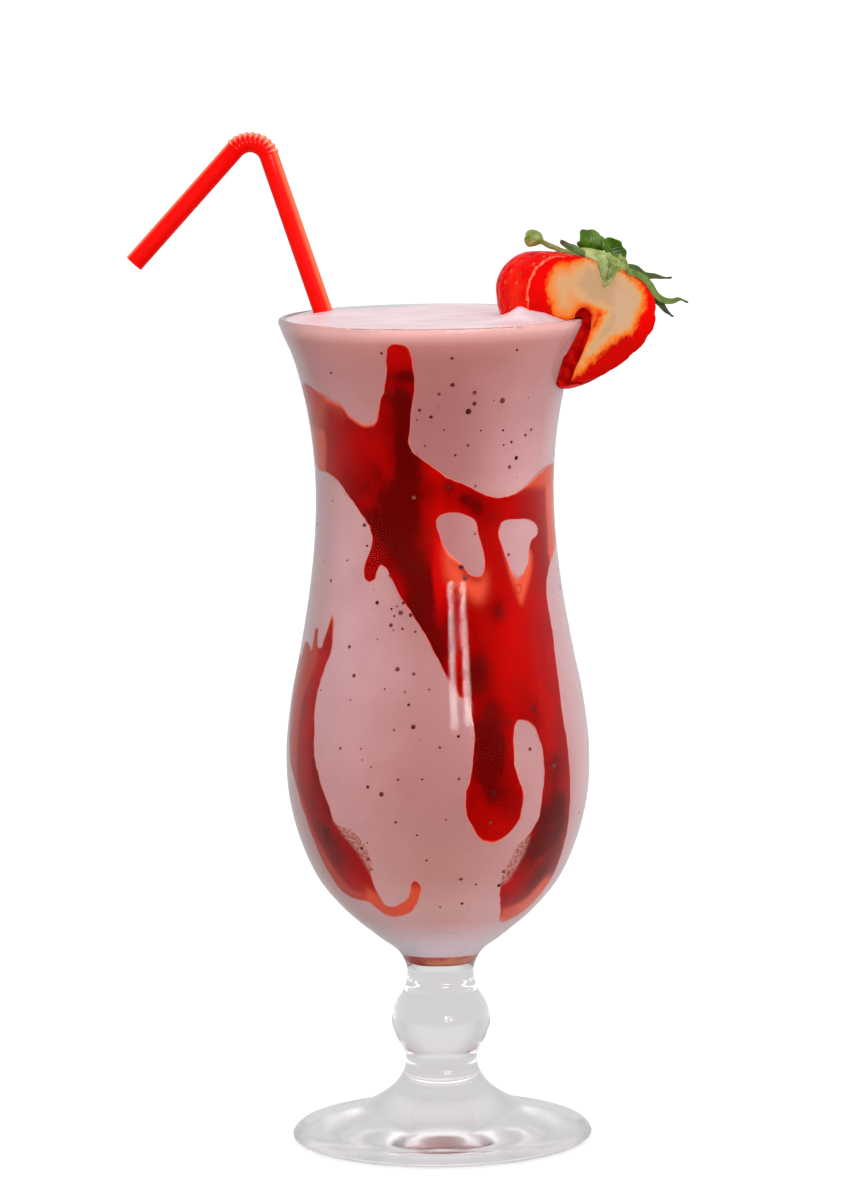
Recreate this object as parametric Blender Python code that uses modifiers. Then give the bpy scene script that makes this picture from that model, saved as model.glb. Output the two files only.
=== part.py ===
"""A strawberry milkshake in a footed hurricane glass, with sauce runs, a bendy straw and half a strawberry.

The part stands on the XY plane with its origin at the centre of the foot. +Z is up, the strawberry
hangs on the rim at +X, and the side with the main sauce run faces -Y. The sizes below are in
millimetres, and MM turns them into Blender's metres.
"""
import math

import bmesh
import bpy
import numpy as np
from mathutils import Matrix, Vector
from mathutils.geometry import delaunay_2d_cdt

MM = 0.001
GAP = 0.3                    # space left between neighbouring pieces
MERGE = 0.00001              # metres, for welding a mesh to itself
NAME = "strawberry_milkshake"

# ---- the glass: outline stations as (radius, height) -------------------------------------------
RIM_RADIUS = 40.0
RIM_HEIGHT = 216.0
FOOT_RADIUS = 39.2
LIP = 1.0                    # radius of the rounded rim
LATHE_SIDES = 36

BOWL_OUTSIDE = [(39.9, 214.8), (38.7, 211.5), (36.9, 207.5), (34.2, 198.5), (32.3, 189.0), (30.9, 173.0),
                (31.1, 162.0), (32.7, 146.0), (35.1, 131.5), (38.2, 115.5), (39.5, 102.5), (38.9, 91.0),
                (36.0, 79.3), (31.2, 68.9), (24.6, 61.0), (16.4, 54.0), (10.6, 49.3)]
STEM_OUTSIDE = [(8.7, 45.0), (9.4, 40.0), (12.1, 35.1), (12.9, 31.0), (11.6, 26.6), (9.4, 22.3),
                (9.6, 18.6), (12.2, 14.2), (17.0, 10.4), (24.0, 7.0), (33.0, 4.2), (38.4, 2.6)]
FOOT_EDGE = [(FOOT_RADIUS, 1.4), (38.5, 0.2), (37.0, 0.0)]
BOWL_INSIDE = [(0.0, 46.0), (4.6, 46.4), (6.9, 48.4), (10.8, 52.6), (17.8, 59.0), (24.8, 66.0), (29.6, 73.0),
               (34.0, 82.5), (36.8, 92.5), (37.3, 102.5), (36.0, 115.5), (33.0, 131.5), (30.6, 146.0),
               (29.0, 162.0), (28.8, 173.0), (30.2, 189.0), (32.1, 198.5), (34.8, 207.5), (36.6, 211.5),
               (37.9, 214.8)]

BOWL_TURN = 60.0             # below this height the bowl's wall faces up more than inwards

# ---- the milkshake: its level, and the heaps on it as (x, y, height, spread) -------------------
LEVEL = 214.0
EDGE_FADE = 4.0              # the surface lies level at the wall and is full height this far from it
HEAPS = [(12, -8, 2.2, 17), (27, -17, 3.0, 7), (22.5, -18.5, 2.2, 2.4), (-23, 12.5, 2.8, 4.2),
         (-6, 20, 0.9, 9), (-14, -16, -0.5, 9)]
TOP_RINGS = 5

# ---- the sauce: runs down the inside of the wall as (azimuth in degrees, height, half width) ---
# Azimuth 0 is the front and 90 the strawberry's side.
SAUCE_THICKNESS = 1.0
SAUCE_FILLET = 1.5           # how softly two runs join
SAUCE_SEAM = -155            # an azimuth that no run crosses
ROOM_REACH = 1.0             # how far the rooms cut for the sauce reach out past the drink's side
SAUCES = {
    "sauce_band": {
        "finger": [(-13, 210, 2.6), (-14, 205, 3.1), (-15, 199, 4.1), (-17, 192, 5.0), (-20, 184, 7.0)],
        "left_arm": [(-136, 184, 5.0), (-120, 189, 7.5), (-98, 190, 9.0), (-73, 190, 9.3), (-52, 186.5, 9.3),
                     (-36, 180, 9.5), (-21, 171.5, 9.5), (-14, 161.5, 8.6)],
        "diagonal": [(-14, 161.5, 8.6), (-4, 151, 8.2), (6, 141, 7.6), (13, 132.5, 6.2), (17, 123.5, 4.0)],
        "small_drip": [(-27, 160, 3.0), (-31, 155.5, 1.5), (-32, 152, 1.4)],
        "right_arm": [(-9, 176.5, 6.5), (7, 172.5, 4.4), (21, 170, 3.6), (32, 168.5, 3.0), (46, 169, 3.8),
                      (62, 170.5, 7.0), (85, 170, 8.5), (108, 174, 6.0), (130, 179, 4.8), (152, 183, 5.4),
                      (176, 184, 6.0)],
        "middle_drip": [(28, 167.5, 2.4), (27, 156, 2.3), (27, 146, 4.0), (26, 136, 6.5), (24, 121, 6.3),
                        (22, 111, 5.4), (21, 100.5, 6.6), (21, 92.5, 7.9)],
        "right_drip": [(65, 162, 3.0), (57, 152, 3.2), (50, 142, 4.6), (43, 132.5, 6.6), (45, 122, 6.5),
                       (48, 114.5, 6.4), (50, 102.5, 5.1), (50, 88, 5.6), (46, 77, 6.8), (44, 70, 6.0),
                       (43, 66, 3.4)],
        "side_drip": [(96, 168, 4.5), (97, 150, 2.8), (98, 132, 3.2), (100, 118, 4.6)],
        "back_drip_a": [(138, 178, 4.0), (139, 160, 2.6), (141, 140, 2.9), (144, 121, 4.2), (145, 111, 5.4)],
        "back_drip_b": [(176, 180, 5.0), (178, 160, 4.2), (180, 138, 5.0), (178, 115, 5.8), (176, 99, 7.2)],
        "far_drip": [(-132, 186, 5.0), (-131, 168, 2.8), (-129, 152, 2.6), (-128, 141, 3.8)],
    },
    "sauce_streak": {
        "streak": [(-57, 136, 1.6), (-63, 124, 5.0), (-64, 110.5, 6.6), (-62, 98, 6.0), (-54, 87, 4.8),
                   (-46, 77.5, 4.0), (-40, 71.5, 3.0), (-32, 67.5, 2.2), (-21.5, 67, 1.6), (-13, 70, 1.3),
                   (-11, 72.5, 1.2)],
    },
    "sauce_back_streak": {
        "back_streak": [(-84, 127, 1.6), (-96, 114, 3.6), (-106, 99, 4.4), (-108, 86, 3.4)],
    },
}
RUN_STEP = 0.8               # spacing of the points that stand for a run
OUTLINE_STEP = 3.6           # spacing of the points along a sauce outline
INSIDE_STEP = 7.5            # spacing of the points within it
EDGE_MARGIN = 1.5            # how far these stay from the outline
LOWEST_SAUCE = 55.0
UNROLLED_RADIUS = 36.0       # radius at which an azimuth becomes a length when the wall is unrolled

# ---- the straw -----------------------------------------------------------------------------------
STRAW_RADIUS = 2.55
STRAW_WALL = 0.4
STRAW_AT_RIM = Vector((-27.3, 18.4, 212.0))
STRAW_LEAN = Vector((-0.342, 0.23, 1.0))         # direction of the long arm, upwards
STRAW_FOOT_HEIGHT = 75.0
STRAW_BEND_HEIGHT = 256.0                        # where the long arm meets the ribs
SHORT_ARM = Vector((-0.674, 0.0, -0.738))        # direction of the short arm, away from the bend
SHORT_ARM_LENGTH = 40.0
BEND_RADIUS = 5.5
RIBS = 10
RIB_DEPTH = 0.45

# ---- the strawberry --------------------------------------------------------------------------------
BERRY_TOP = Vector((45.1, -9.3, 229.1))          # where the leaves grow, in the plane of the cut
BERRY_TURN = math.radians(28)                    # the cut faces -Y and is turned this far towards +X
BERRY_TILT = math.radians(18)                    # the tip swings this far towards the glass
BERRY_SHIFT = 1.5                                # the berry's middle, away from the leaves
CUT_DEPTH = 6.0                                  # from the berry's axis to the cut
BERRY_FLATTEN = 0.88                             # depth against width
BERRY_SWAY = 0.18                                # how far the back of the berry leans inwards
BERRY_PROFILE = [(0.0, -1.2), (6.0, -0.6), (11.5, 0.4), (16.8, 2.6), (19.8, 6.6), (20.6, 11.0), (19.4, 15.5),
                 (16.8, 20.0), (13.4, 24.4), (9.8, 28.2), (6.0, 31.4), (2.6, 33.2), (0.0, 33.6)]
BERRY_SIDES = 26
BERRY_SHOULDER = 8.0         # above this depth the berry's skin faces up
SLIT_HEIGHT = 180.0          # the ring that cuts the slit starts here
SLIT_MOUTH = (Vector((40.8, -13.0, 215.6)), 3.0)  # a wider spot of the slit at the cut: centre and radius

# ---- the leaves on it, in the berry's face frame: right, up, and back from the cut ------------------
CAP_PROFILE = [(0.0, 2.6), (2.4, 2.7), (4.6, 2.0), (7.2, 0.8), (8.2, -0.2), (6.6, -0.9), (3.4, -1.4),
               (0.0, -1.6)]
CAP_SIDES = 12
CAP_LIFT = 0.9               # how far the cap stands above the berry's top
LEAF_THICKNESS = 0.55
LEAF_ROWS = 6
LEAF_CUP = 0.3               # how far the edges stand up, against the half width
LEAF_WAVE = 0.35             # how far they twist up and down
# name: (path, half width, which way the width runs, pointed tip)
LEAVES = {
    "curled": ([(0, 1, 5), (-4.6, 2.6, 6), (-9.3, 3.9, 6), (-14, 4.6, 6.5), (-17.8, 4.9, 6.5),
                (-20.4, 6.2, 6.5), (-20.2, 8.2, 6.5), (-17.9, 8.9, 6.5)], 2.4, (0.1, 0.45, 0.9), False),
    "spear": ([(1, 1, 4), (-1.6, 2.1, 3), (-5.1, 3.6, 2.5), (-8.8, 4.7, 2), (-12.9, 5.9, 1)], 1.6,
              (0, 0.7, 0.7), True),
    "crest_left": ([(2.4, 1, 7), (1.2, 2.8, 7.4), (-0.4, 4.8, 7.8), (-1.6, 6.8, 7.4), (-2, 8.2, 5.6)], 3.1,
                   (0.95, 0.3, 0), False),
    "crest_right": ([(3.6, 0, 6), (4.6, 2, 6.2), (5.2, 4.2, 5.8), (4.4, 6.2, 4.4)], 2.9,
                    (0.9, -0.4, 0.1), False),
    "thin": ([(3, 0.4, 8), (8.6, -0.6, 8.6), (12.6, -1.9, 8.4), (16.1, -2.7, 8), (22.3, -3, 7)], 1.3,
             (0, 0.6, 0.8), True),
    "long": ([(2, 0, 4), (5.5, -0.6, 3), (11.6, -2.9, 1.6), (14.8, -5.6, 0.8), (17.4, -8, 0.6),
              (20.8, -8.4, 0.2), (23.8, -9.2, 0)], 2.1, (0.2, 0.75, 0.6), True),
    "low": ([(5, -0.2, 6), (11.2, -3.6, 3.4), (14.4, -7, 2.8), (17, -9.7, 2.4), (20.3, -12.7, 2)], 1.8,
            (0.4, 0.6, 0.7), True),
    "back_a": ([(1, 1, 8), (-3, 2.6, 13), (-6, 1.4, 18), (-8, -2.4, 22)], 2.8, (0.8, 0.1, 0.5), True),
    "back_b": ([(2, 1, 9), (7, 0.8, 13), (11, -1.4, 16.6), (15, -4.6, 18.6)], 2.8, (0.6, 0.2, -0.7), True),
}

# ---- finishes: name -> (red, green, blue), roughness, how much light passes ----------------------------
FINISHES = {
    "clear_glass": ((0.93, 0.95, 0.95), 0.02, 1.0),
    "strawberry_shake": ((0.60, 0.33, 0.34), 0.45, 0.0),
    "strawberry_sauce": ((0.36, 0.004, 0.004), 0.2, 0.0),
    "red_straw": ((0.86, 0.012, 0.01), 0.3, 0.0),
    "berry_flesh": ((0.78, 0.05, 0.02), 0.3, 0.0),
    "leaf_green": ((0.10, 0.21, 0.02), 0.5, 0.0),
}


# ==================== curves through hand-chosen points ====================

def smooth_curve(points, step):
    """Points about one step apart on a smooth curve through all the given ones (Catmull-Rom by length)."""
    knots = np.array(points, float)
    length = np.concatenate([[0.0], np.cumsum(np.linalg.norm(np.diff(knots, axis=0), axis=1))])
    slope = np.gradient(knots, length, axis=0)
    at = np.linspace(0.0, length[-1], max(2, int(length[-1] / step) + 1))
    span = np.clip(np.searchsorted(length, at, side="right") - 1, 0, len(length) - 2)
    width = (length[span + 1] - length[span])[:, None]
    t = (at - length[span])[:, None] / width
    return ((2 * t**3 - 3 * t**2 + 1) * knots[span] + (t**3 - 2 * t**2 + t) * width * slope[span]
            + (3 * t**2 - 2 * t**3) * knots[span + 1] + (t**3 - t**2) * width * slope[span + 1])


def thin_out(points, most_turn, most_step):
    """Drops points of a fine curve where it hardly turns, and keeps its two ends."""
    kept = [0]
    turned = 0.0
    for i in range(1, len(points) - 1):
        before = points[i] - points[i - 1]
        after = points[i + 1] - points[i]
        turned += abs(math.atan2(before[0] * after[1] - before[1] * after[0], before.dot(after)))
        if turned > most_turn or np.linalg.norm(points[i] - points[kept[-1]]) > most_step:
            kept.append(i)
            turned = 0.0
    return points[kept + [len(points) - 1]]


def lathe_outline(stations, most_turn=math.radians(16), most_step=13.0):
    return [tuple(p) for p in thin_out(smooth_curve(stations, 0.4), most_turn, most_step)]


INNER_WALL = lathe_outline(BOWL_INSIDE)


def inner_radius(height):
    """Radius of the glass's inner wall at a height, a number or an array, in millimetres."""
    radii, heights = zip(*INNER_WALL)
    return np.interp(height, heights, radii)


# ==================== Blender helpers ====================

def clear_scene():
    for old in list(bpy.data.objects):
        bpy.data.objects.remove(old, do_unlink=True)


def make_collection(name, hidden=False):
    group = bpy.data.collections.new(name)
    bpy.context.scene.collection.children.link(group)
    group.hide_render = hidden
    return group


def make_finish(name):
    color, roughness, clear = FINISHES[name]
    finish = bpy.data.materials.new(name)
    finish.use_nodes = True
    shader = finish.node_tree.nodes["Principled BSDF"]
    shader.inputs["Base Color"].default_value = (*color, 1.0)
    shader.inputs["Roughness"].default_value = roughness
    shader.inputs["Metallic"].default_value = 0.0
    shader.inputs["Transmission Weight"].default_value = clear
    return finish


def add_object(name, mesh, group, finish=None):
    piece = bpy.data.objects.new(name, mesh)
    group.objects.link(piece)
    if finish:
        mesh.materials.clear()
        mesh.materials.append(finish)
    return piece


def as_cutter(piece):
    piece.hide_render = True
    piece.display_type = "WIRE"
    return piece


def freeze(piece):
    """Applies every modifier of a mesh or curve object and welds it. The object becomes a plain mesh."""
    bpy.context.view_layer.update()
    evaluated = piece.evaluated_get(bpy.context.evaluated_depsgraph_get())
    mesh = bpy.data.meshes.new_from_object(evaluated)
    form = bmesh.new()
    form.from_mesh(mesh)
    bmesh.ops.remove_doubles(form, verts=form.verts, dist=MERGE)
    form.to_mesh(mesh)
    form.free()
    name, place, group = piece.name, piece.matrix_world.copy(), piece.users_collection[0]
    bpy.data.objects.remove(piece, do_unlink=True)
    plain = add_object(name, mesh, group)
    plain.matrix_world = place
    return plain


def shade_round(piece, sharp_angle=math.radians(40)):
    piece.data.shade_smooth()
    piece.data.set_sharp_from_angle(angle=sharp_angle)


def turned(name, outline, group, sides=LATHE_SIDES):
    """A turned solid. The outline runs from the axis out over the top, down the outer side and back to the
    axis, as (radius, height)."""
    mesh = bpy.data.meshes.new(name)
    points = [(radius * MM, 0.0, height * MM) for radius, height in outline]
    mesh.from_pydata(points, [(i, i + 1) for i in range(len(points) - 1)], [])
    piece = add_object(name, mesh, group)
    screw = piece.modifiers.new("Turn", "SCREW")
    screw.steps = sides
    screw.render_steps = sides
    screw.use_merge_vertices = True
    screw.merge_threshold = MERGE
    return piece


def cut_with(piece, cutters):
    """Cuts every cutter of a collection out of the piece."""
    cut = piece.modifiers.new("Cut", "BOOLEAN")
    cut.operation = "DIFFERENCE"
    cut.solver = "EXACT"
    cut.operand_type = "COLLECTION"
    cut.collection = cutters


# ==================== the glass ====================

def glass_outline():
    """The glass as one outline: up inside the bowl, over the lip, down the outside and under the foot."""
    lip = [(RIM_RADIUS - LIP * (1 + math.cos(angle)), RIM_HEIGHT - LIP * (1 - math.sin(angle)))
           for angle in np.linspace(0.0, math.pi, 5)]
    outside = lathe_outline(BOWL_OUTSIDE + STEM_OUTSIDE + FOOT_EDGE[:1])
    return INNER_WALL[:-1] + lip + outside[1:] + FOOT_EDGE[1:] + [(0.0, 0.0)]


def make_glass(group, finish):
    glass = turned("glass", glass_outline(), group)
    glass = freeze(glass)
    glass.data.materials.append(finish)
    shade_round(glass)
    return glass


# ==================== the sauce on the wall ====================

def on_wall(azimuth, height, inset=0.0, probe=2.0):
    """Points on the inner wall, or inset square to it, for arrays of azimuths in radians and heights."""
    slope = (inner_radius(height + probe) - inner_radius(height - probe)) / (2 * probe)
    step = inset / np.sqrt(1 + slope**2)
    radius = inner_radius(height) - step
    return np.stack([radius * np.sin(azimuth), -radius * np.cos(azimuth), height + step * slope], axis=-1)


def sauce_depth(azimuth, height, runs):
    """How far points of the wall lie outside the sauce, in millimetres. It is negative inside it."""
    points = on_wall(azimuth, height)
    depth = None
    for knots in runs.values():
        path = smooth_curve([(math.radians(a) * UNROLLED_RADIUS, z, w) for a, z, w in knots], RUN_STEP)
        middle = on_wall(path[:, 0] / UNROLLED_RADIUS, path[:, 1])
        away = np.linalg.norm(points[:, None, :] - middle[None], axis=2) - path[None, :, 2]
        away = away.min(axis=1)
        if depth is None:
            depth = away
            continue
        mix = np.clip(0.5 + 0.5 * (depth - away) / SAUCE_FILLET, 0.0, 1.0)
        depth = depth * (1 - mix) + away * mix - SAUCE_FILLET * mix * (1 - mix)
    return depth


def unrolled_depth(places, runs):
    """The same for points of the unrolled wall, given as (length round the wall, height)."""
    return sauce_depth(places[:, 0] / UNROLLED_RADIUS, places[:, 1], runs)


def outline_loops(runs, cell=1.0):
    """Closed loops of points where the sauce ends, on the unrolled wall, found by marching over a grid."""
    around = np.arange(SAUCE_SEAM, SAUCE_SEAM + 360, math.degrees(cell / UNROLLED_RADIUS))
    lengths = np.radians(around) * UNROLLED_RADIUS
    heights = np.arange(LOWEST_SAUCE, LEVEL, cell)
    grid = np.stack(np.meshgrid(lengths, heights, indexing="ij"), axis=-1)
    depth = np.array([unrolled_depth(column, runs) for column in grid])
    links = {}
    for i, j in zip(*np.nonzero(np.abs(depth[:-1, :-1]) < 2 * cell)):
        corners = [(i, j), (i + 1, j), (i + 1, j + 1), (i, j + 1)]
        crossings = [(corners[k], corners[(k + 1) % 4]) for k in range(4)
                     if (depth[corners[k]] < 0) != (depth[corners[(k + 1) % 4]] < 0)]
        for first, second in zip(crossings[0::2], crossings[1::2]):
            first, second = tuple(sorted(first)), tuple(sorted(second))
            links.setdefault(first, []).append(second)
            links.setdefault(second, []).append(first)

    def place(edge):
        a, b = depth[edge[0]], depth[edge[1]]
        return grid[edge[0]] + (grid[edge[1]] - grid[edge[0]]) * a / (a - b)

    loops = []
    waiting = set(links)
    while waiting:
        edge = min(waiting)
        loop = []
        while edge in waiting:
            waiting.remove(edge)
            loop.append(place(edge))
            edge = next((n for n in links[edge] if n in waiting), edge)
        loops.append(np.array(loop))
    return loops


def even_loop(loop, step):
    """The loop with its points one step apart."""
    closed = np.vstack([loop, loop[:1]])
    length = np.concatenate([[0.0], np.cumsum(np.linalg.norm(np.diff(closed, axis=0), axis=1))])
    at = np.linspace(0.0, length[-1], max(6, round(length[-1] / step)), endpoint=False)
    return np.stack([np.interp(at, length, closed[:, k]) for k in range(2)], axis=-1)


def grow_loop(loop, runs, distance, probe=0.2):
    """Moves each point of a loop away from the sauce."""
    slope = np.stack([unrolled_depth(loop + probe * axis, runs) - unrolled_depth(loop - probe * axis, runs)
                      for axis in np.eye(2)], axis=-1)
    return loop + distance * slope / np.linalg.norm(slope, axis=1)[:, None]


def sauce_skin(name, loops, runs, inset, thickness, group):
    """A skin over the unrolled loops, wrapped on the inner wall and thickened inwards."""
    loops = [loop for loop in loops if len(loop) > 5]
    edge_points = np.vstack(loops)
    low, high = edge_points.min(axis=0), edge_points.max(axis=0)
    columns = np.arange(low[0], high[0], INSIDE_STEP)
    rows = np.arange(low[1], high[1], INSIDE_STEP * 0.87)
    inside = np.array([(x + (k % 2) * INSIDE_STEP / 2, z) for k, z in enumerate(rows) for x in columns])
    inside = inside[unrolled_depth(inside, runs) < -EDGE_MARGIN]
    links = []
    start = 0
    for loop in loops:
        links += [(start + k, start + (k + 1) % len(loop)) for k in range(len(loop))]
        start += len(loop)
    places = [Vector(p) for p in np.vstack([edge_points, inside])]
    flat, _, faces, *_ = delaunay_2d_cdt(places, links, [], 1, 1e-5)
    flat = np.array([tuple(p) for p in flat])
    middles = np.array([flat[list(face)].mean(axis=0) for face in faces])
    keep = inside_loops(middles, loops)
    wrapped = on_wall(flat[:, 0] / UNROLLED_RADIUS, flat[:, 1], inset) * MM
    mesh = bpy.data.meshes.new(name)
    mesh.from_pydata(wrapped.tolist(), [], [list(face) for face, kept in zip(faces, keep) if kept])
    form = bmesh.new()
    form.from_mesh(mesh)
    loose = [v for v in form.verts if not v.link_faces]
    bmesh.ops.delete(form, geom=loose, context="VERTS")
    for face in form.faces:
        if face.normal.dot(Vector((face.calc_center_median().x, face.calc_center_median().y, 0))) < 0:
            face.normal_flip()
    form.to_mesh(mesh)
    form.free()
    skin = add_object(name, mesh, group)
    wall = skin.modifiers.new("Thickness", "SOLIDIFY")
    wall.thickness = thickness * MM
    wall.offset = -1.0
    return skin


def inside_loops(points, loops):
    """Which points lie inside an odd number of the loops."""
    inside = np.zeros(len(points), bool)
    for loop in loops:
        start, end = loop, np.roll(loop, -1, axis=0)
        for (x0, z0), (x1, z1) in zip(start, end):
            spans = (z0 > points[:, 1]) != (z1 > points[:, 1])
            with np.errstate(divide="ignore", invalid="ignore"):
                crossing = x0 + (points[:, 1] - z0) / (z1 - z0) * (x1 - x0)
            inside ^= spans & (points[:, 0] < crossing)
    return inside


def make_sauce(name, runs, group, cutters, finish):
    """A sauce skin just inside the wall, and the cutter that makes room for it in the milkshake."""
    loops = [even_loop(loop, OUTLINE_STEP) for loop in outline_loops(runs) if len(loop) > 12]
    sauce = freeze(sauce_skin(name, loops, runs, GAP, SAUCE_THICKNESS, group))
    sauce.data.materials.append(finish)
    shade_round(sauce)
    room = [grow_loop(loop, runs, GAP) for loop in loops]
    depth = ROOM_REACH + SAUCE_THICKNESS + 3 * GAP
    as_cutter(freeze(sauce_skin(name + "_room", room, runs, -ROOM_REACH, depth, cutters)))
    return sauce


# ==================== the milkshake ====================

def surface_height(x, y):
    """Height of the milkshake's surface at a place, in millimetres."""
    heaped = sum(height * math.exp(-((x - at_x)**2 + (y - at_y)**2) / (2 * spread**2))
                 for at_x, at_y, height, spread in HEAPS)
    return LEVEL + heaped


def make_milkshake(group, cutters, finish):
    wall = [(radius - GAP, height + GAP * (height < BOWL_TURN)) for radius, height in INNER_WALL
            if 0.0 < radius and height < LEVEL - 1.0]
    edge = inner_radius(LEVEL) - GAP
    top = [(edge * k / TOP_RINGS, LEVEL) for k in range(TOP_RINGS + 1)]
    outline = top + wall[::-1] + [(0.0, BOWL_INSIDE[0][1] + GAP)]
    drink = freeze(turned("milkshake", outline, group))
    for point in drink.data.vertices:
        x, y, z = point.co / MM
        if z > LEVEL - 0.1:
            fade = min(1.0, max(0.0, (edge - math.hypot(x, y)) / EDGE_FADE))
            point.co.z = (LEVEL + (surface_height(x, y) - LEVEL) * fade) * MM
    drink.data.materials.append(finish)
    shade_round(drink, math.radians(50))
    cut_with(drink, cutters)
    return drink


# ==================== the straw ====================

def straw_path():
    """Points along the straw's middle from the foot to the open end, with the radius at each of them."""
    up = STRAW_LEAN.normalized()
    away = SHORT_ARM.normalized()
    foot = STRAW_AT_RIM + STRAW_LEAN * (STRAW_FOOT_HEIGHT - STRAW_AT_RIM.z)
    bend_start = STRAW_AT_RIM + STRAW_LEAN * (STRAW_BEND_HEIGHT - STRAW_AT_RIM.z)
    turn = up.angle(away)
    side = (away - up * away.dot(up)).normalized()
    centre = bend_start + side * BEND_RADIUS
    path = [(foot, STRAW_RADIUS), (foot.lerp(bend_start, 0.5), STRAW_RADIUS)]
    for k in range(2 * RIBS + 1):
        angle = turn * k / (2 * RIBS)
        place = centre - side * BEND_RADIUS * math.cos(angle) + up * BEND_RADIUS * math.sin(angle)
        path.append((place, STRAW_RADIUS + RIB_DEPTH * (k % 2)))
    path.append((path[-1][0] + away * SHORT_ARM_LENGTH, STRAW_RADIUS))
    return path


def straw_tube(name, group, grow=0.0, hollow=True, top=None):
    """The straw as a tube along its path, or as a plain rod a little larger for cutting."""
    curve = bpy.data.curves.new(name, "CURVE")
    curve.dimensions = "3D"
    curve.bevel_depth = MM
    curve.bevel_resolution = 3
    curve.use_fill_caps = not hollow
    path = straw_path()[:top]
    line = curve.splines.new("POLY")
    line.points.add(len(path) - 1)
    for point, (place, radius) in zip(line.points, path):
        point.co = (*(place * MM), 1.0)
        point.radius = radius + grow
    tube = add_object(name, curve, group)
    if hollow:
        wall = tube.modifiers.new("Wall", "SOLIDIFY")
        wall.thickness = STRAW_WALL * MM
        wall.offset = -1.0
    return freeze(tube)


def make_straw(group, cutters, finish):
    straw = straw_tube("straw", group)
    straw.data.materials.append(finish)
    shade_round(straw, math.radians(60))
    hole = straw_tube("straw_room", cutters, grow=GAP, hollow=False, top=3)
    down = STRAW_LEAN.normalized() * GAP * MM
    foot = min(point.co.z for point in hole.data.vertices)
    for point in hole.data.vertices:
        if point.co.z < foot + 2 * STRAW_RADIUS * MM:
            point.co -= down
    as_cutter(hole)
    return straw


# ==================== the strawberry ====================

def face_frame():
    """Right along the cut, up, and back from the cut into the berry."""
    right = Vector((math.cos(BERRY_TURN), math.sin(BERRY_TURN), 0.0))
    back = Vector((-math.sin(BERRY_TURN), math.cos(BERRY_TURN), 0.0))
    return right, Vector((0.0, 0.0, 1.0)), back


def from_face(right_by, up_by, back_by):
    right, up, back = face_frame()
    return BERRY_TOP + right * right_by + up * up_by + back * back_by


def berry_place():
    """Turns and moves a solid whose axis is Z to where the berry's own axis lies, tip down."""
    right, up, back = face_frame()
    across = right * math.cos(BERRY_TILT) - up * math.sin(BERRY_TILT)
    along = right * math.sin(BERRY_TILT) + up * math.cos(BERRY_TILT)
    middle = BERRY_TOP + back * CUT_DEPTH - across * BERRY_SHIFT
    turn = Matrix((across, back, along)).transposed()
    return Matrix.Translation(middle * MM) @ turn.to_4x4()


def berry_solid(name, group, profile, sides, grow=0.0):
    """A turned solid that is flattened and leant, set in the berry's place and cut by the berry's plane."""
    solid = freeze(turned(name, profile, group, sides))
    cut = -(CUT_DEPTH + grow) * MM
    for point in solid.data.vertices:
        point.co.y *= BERRY_FLATTEN
        point.co.x -= BERRY_SWAY * (point.co.y - cut)
    form = bmesh.new()
    form.from_mesh(solid.data)
    half = bmesh.ops.bisect_plane(form, geom=form.verts[:] + form.edges[:] + form.faces[:], dist=MERGE,
                                  plane_co=(0, cut, 0), plane_no=(0, -1, 0), clear_outer=True)
    rim = [edge for edge in half["geom_cut"] if isinstance(edge, bmesh.types.BMEdge)]
    bmesh.ops.contextual_create(form, geom=rim)
    bmesh.ops.transform(form, matrix=berry_place(), verts=form.verts)
    form.to_mesh(solid.data)
    form.free()
    return solid


def grown_profile(grow):
    """The berry's profile, top first, grown by a margin."""
    return [(radius + grow * (radius > 0), -depth + grow * (1 if depth < BERRY_SHOULDER else -1))
            for radius, depth in BERRY_PROFILE]


def slit_cutters(group):
    """The room that the glass wall takes in the berry: a ring round the wall, and a wider mouth."""
    inner = [(r - GAP, z) for r, z in BOWL_INSIDE if z > SLIT_HEIGHT]
    outer = [(r + 2 * GAP, z) for r, z in BOWL_OUTSIDE if z > SLIT_HEIGHT]
    over = [(r, RIM_HEIGHT + GAP) for r in (inner[-1][0] + GAP, outer[0][0] - GAP)]
    ring = turned("slit_ring", inner + over + outer + inner[:1], group)
    as_cutter(freeze(ring))
    place, radius = SLIT_MOUTH
    mouth = bmesh.new()
    bmesh.ops.create_uvsphere(mouth, u_segments=12, v_segments=8, radius=radius * MM)
    bmesh.ops.translate(mouth, verts=mouth.verts, vec=place * MM)
    mesh = bpy.data.meshes.new("slit_mouth")
    mouth.to_mesh(mesh)
    mouth.free()
    as_cutter(add_object("slit_mouth", mesh, group))


def make_berry(group, drink_cutters, slit, finish):
    berry = berry_solid("strawberry", group, grown_profile(0.0), BERRY_SIDES)
    berry.data.materials.append(finish)
    shade_round(berry, math.radians(50))
    cut_with(berry, slit)
    as_cutter(berry_solid("berry_room", drink_cutters, grown_profile(GAP), BERRY_SIDES, GAP))
    return berry


# ==================== the berry's leaves ====================

def leaf_width(t, pointed):
    """Share of a leaf's full width at t from its root to its tip."""
    if pointed:
        return 0.12 + 0.88 * math.sin(math.pi * (0.22 + 0.76 * t)) ** 0.8
    return 0.62 + 0.38 * math.sin(math.pi * t) if t < 0.9 else 0.55


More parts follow.
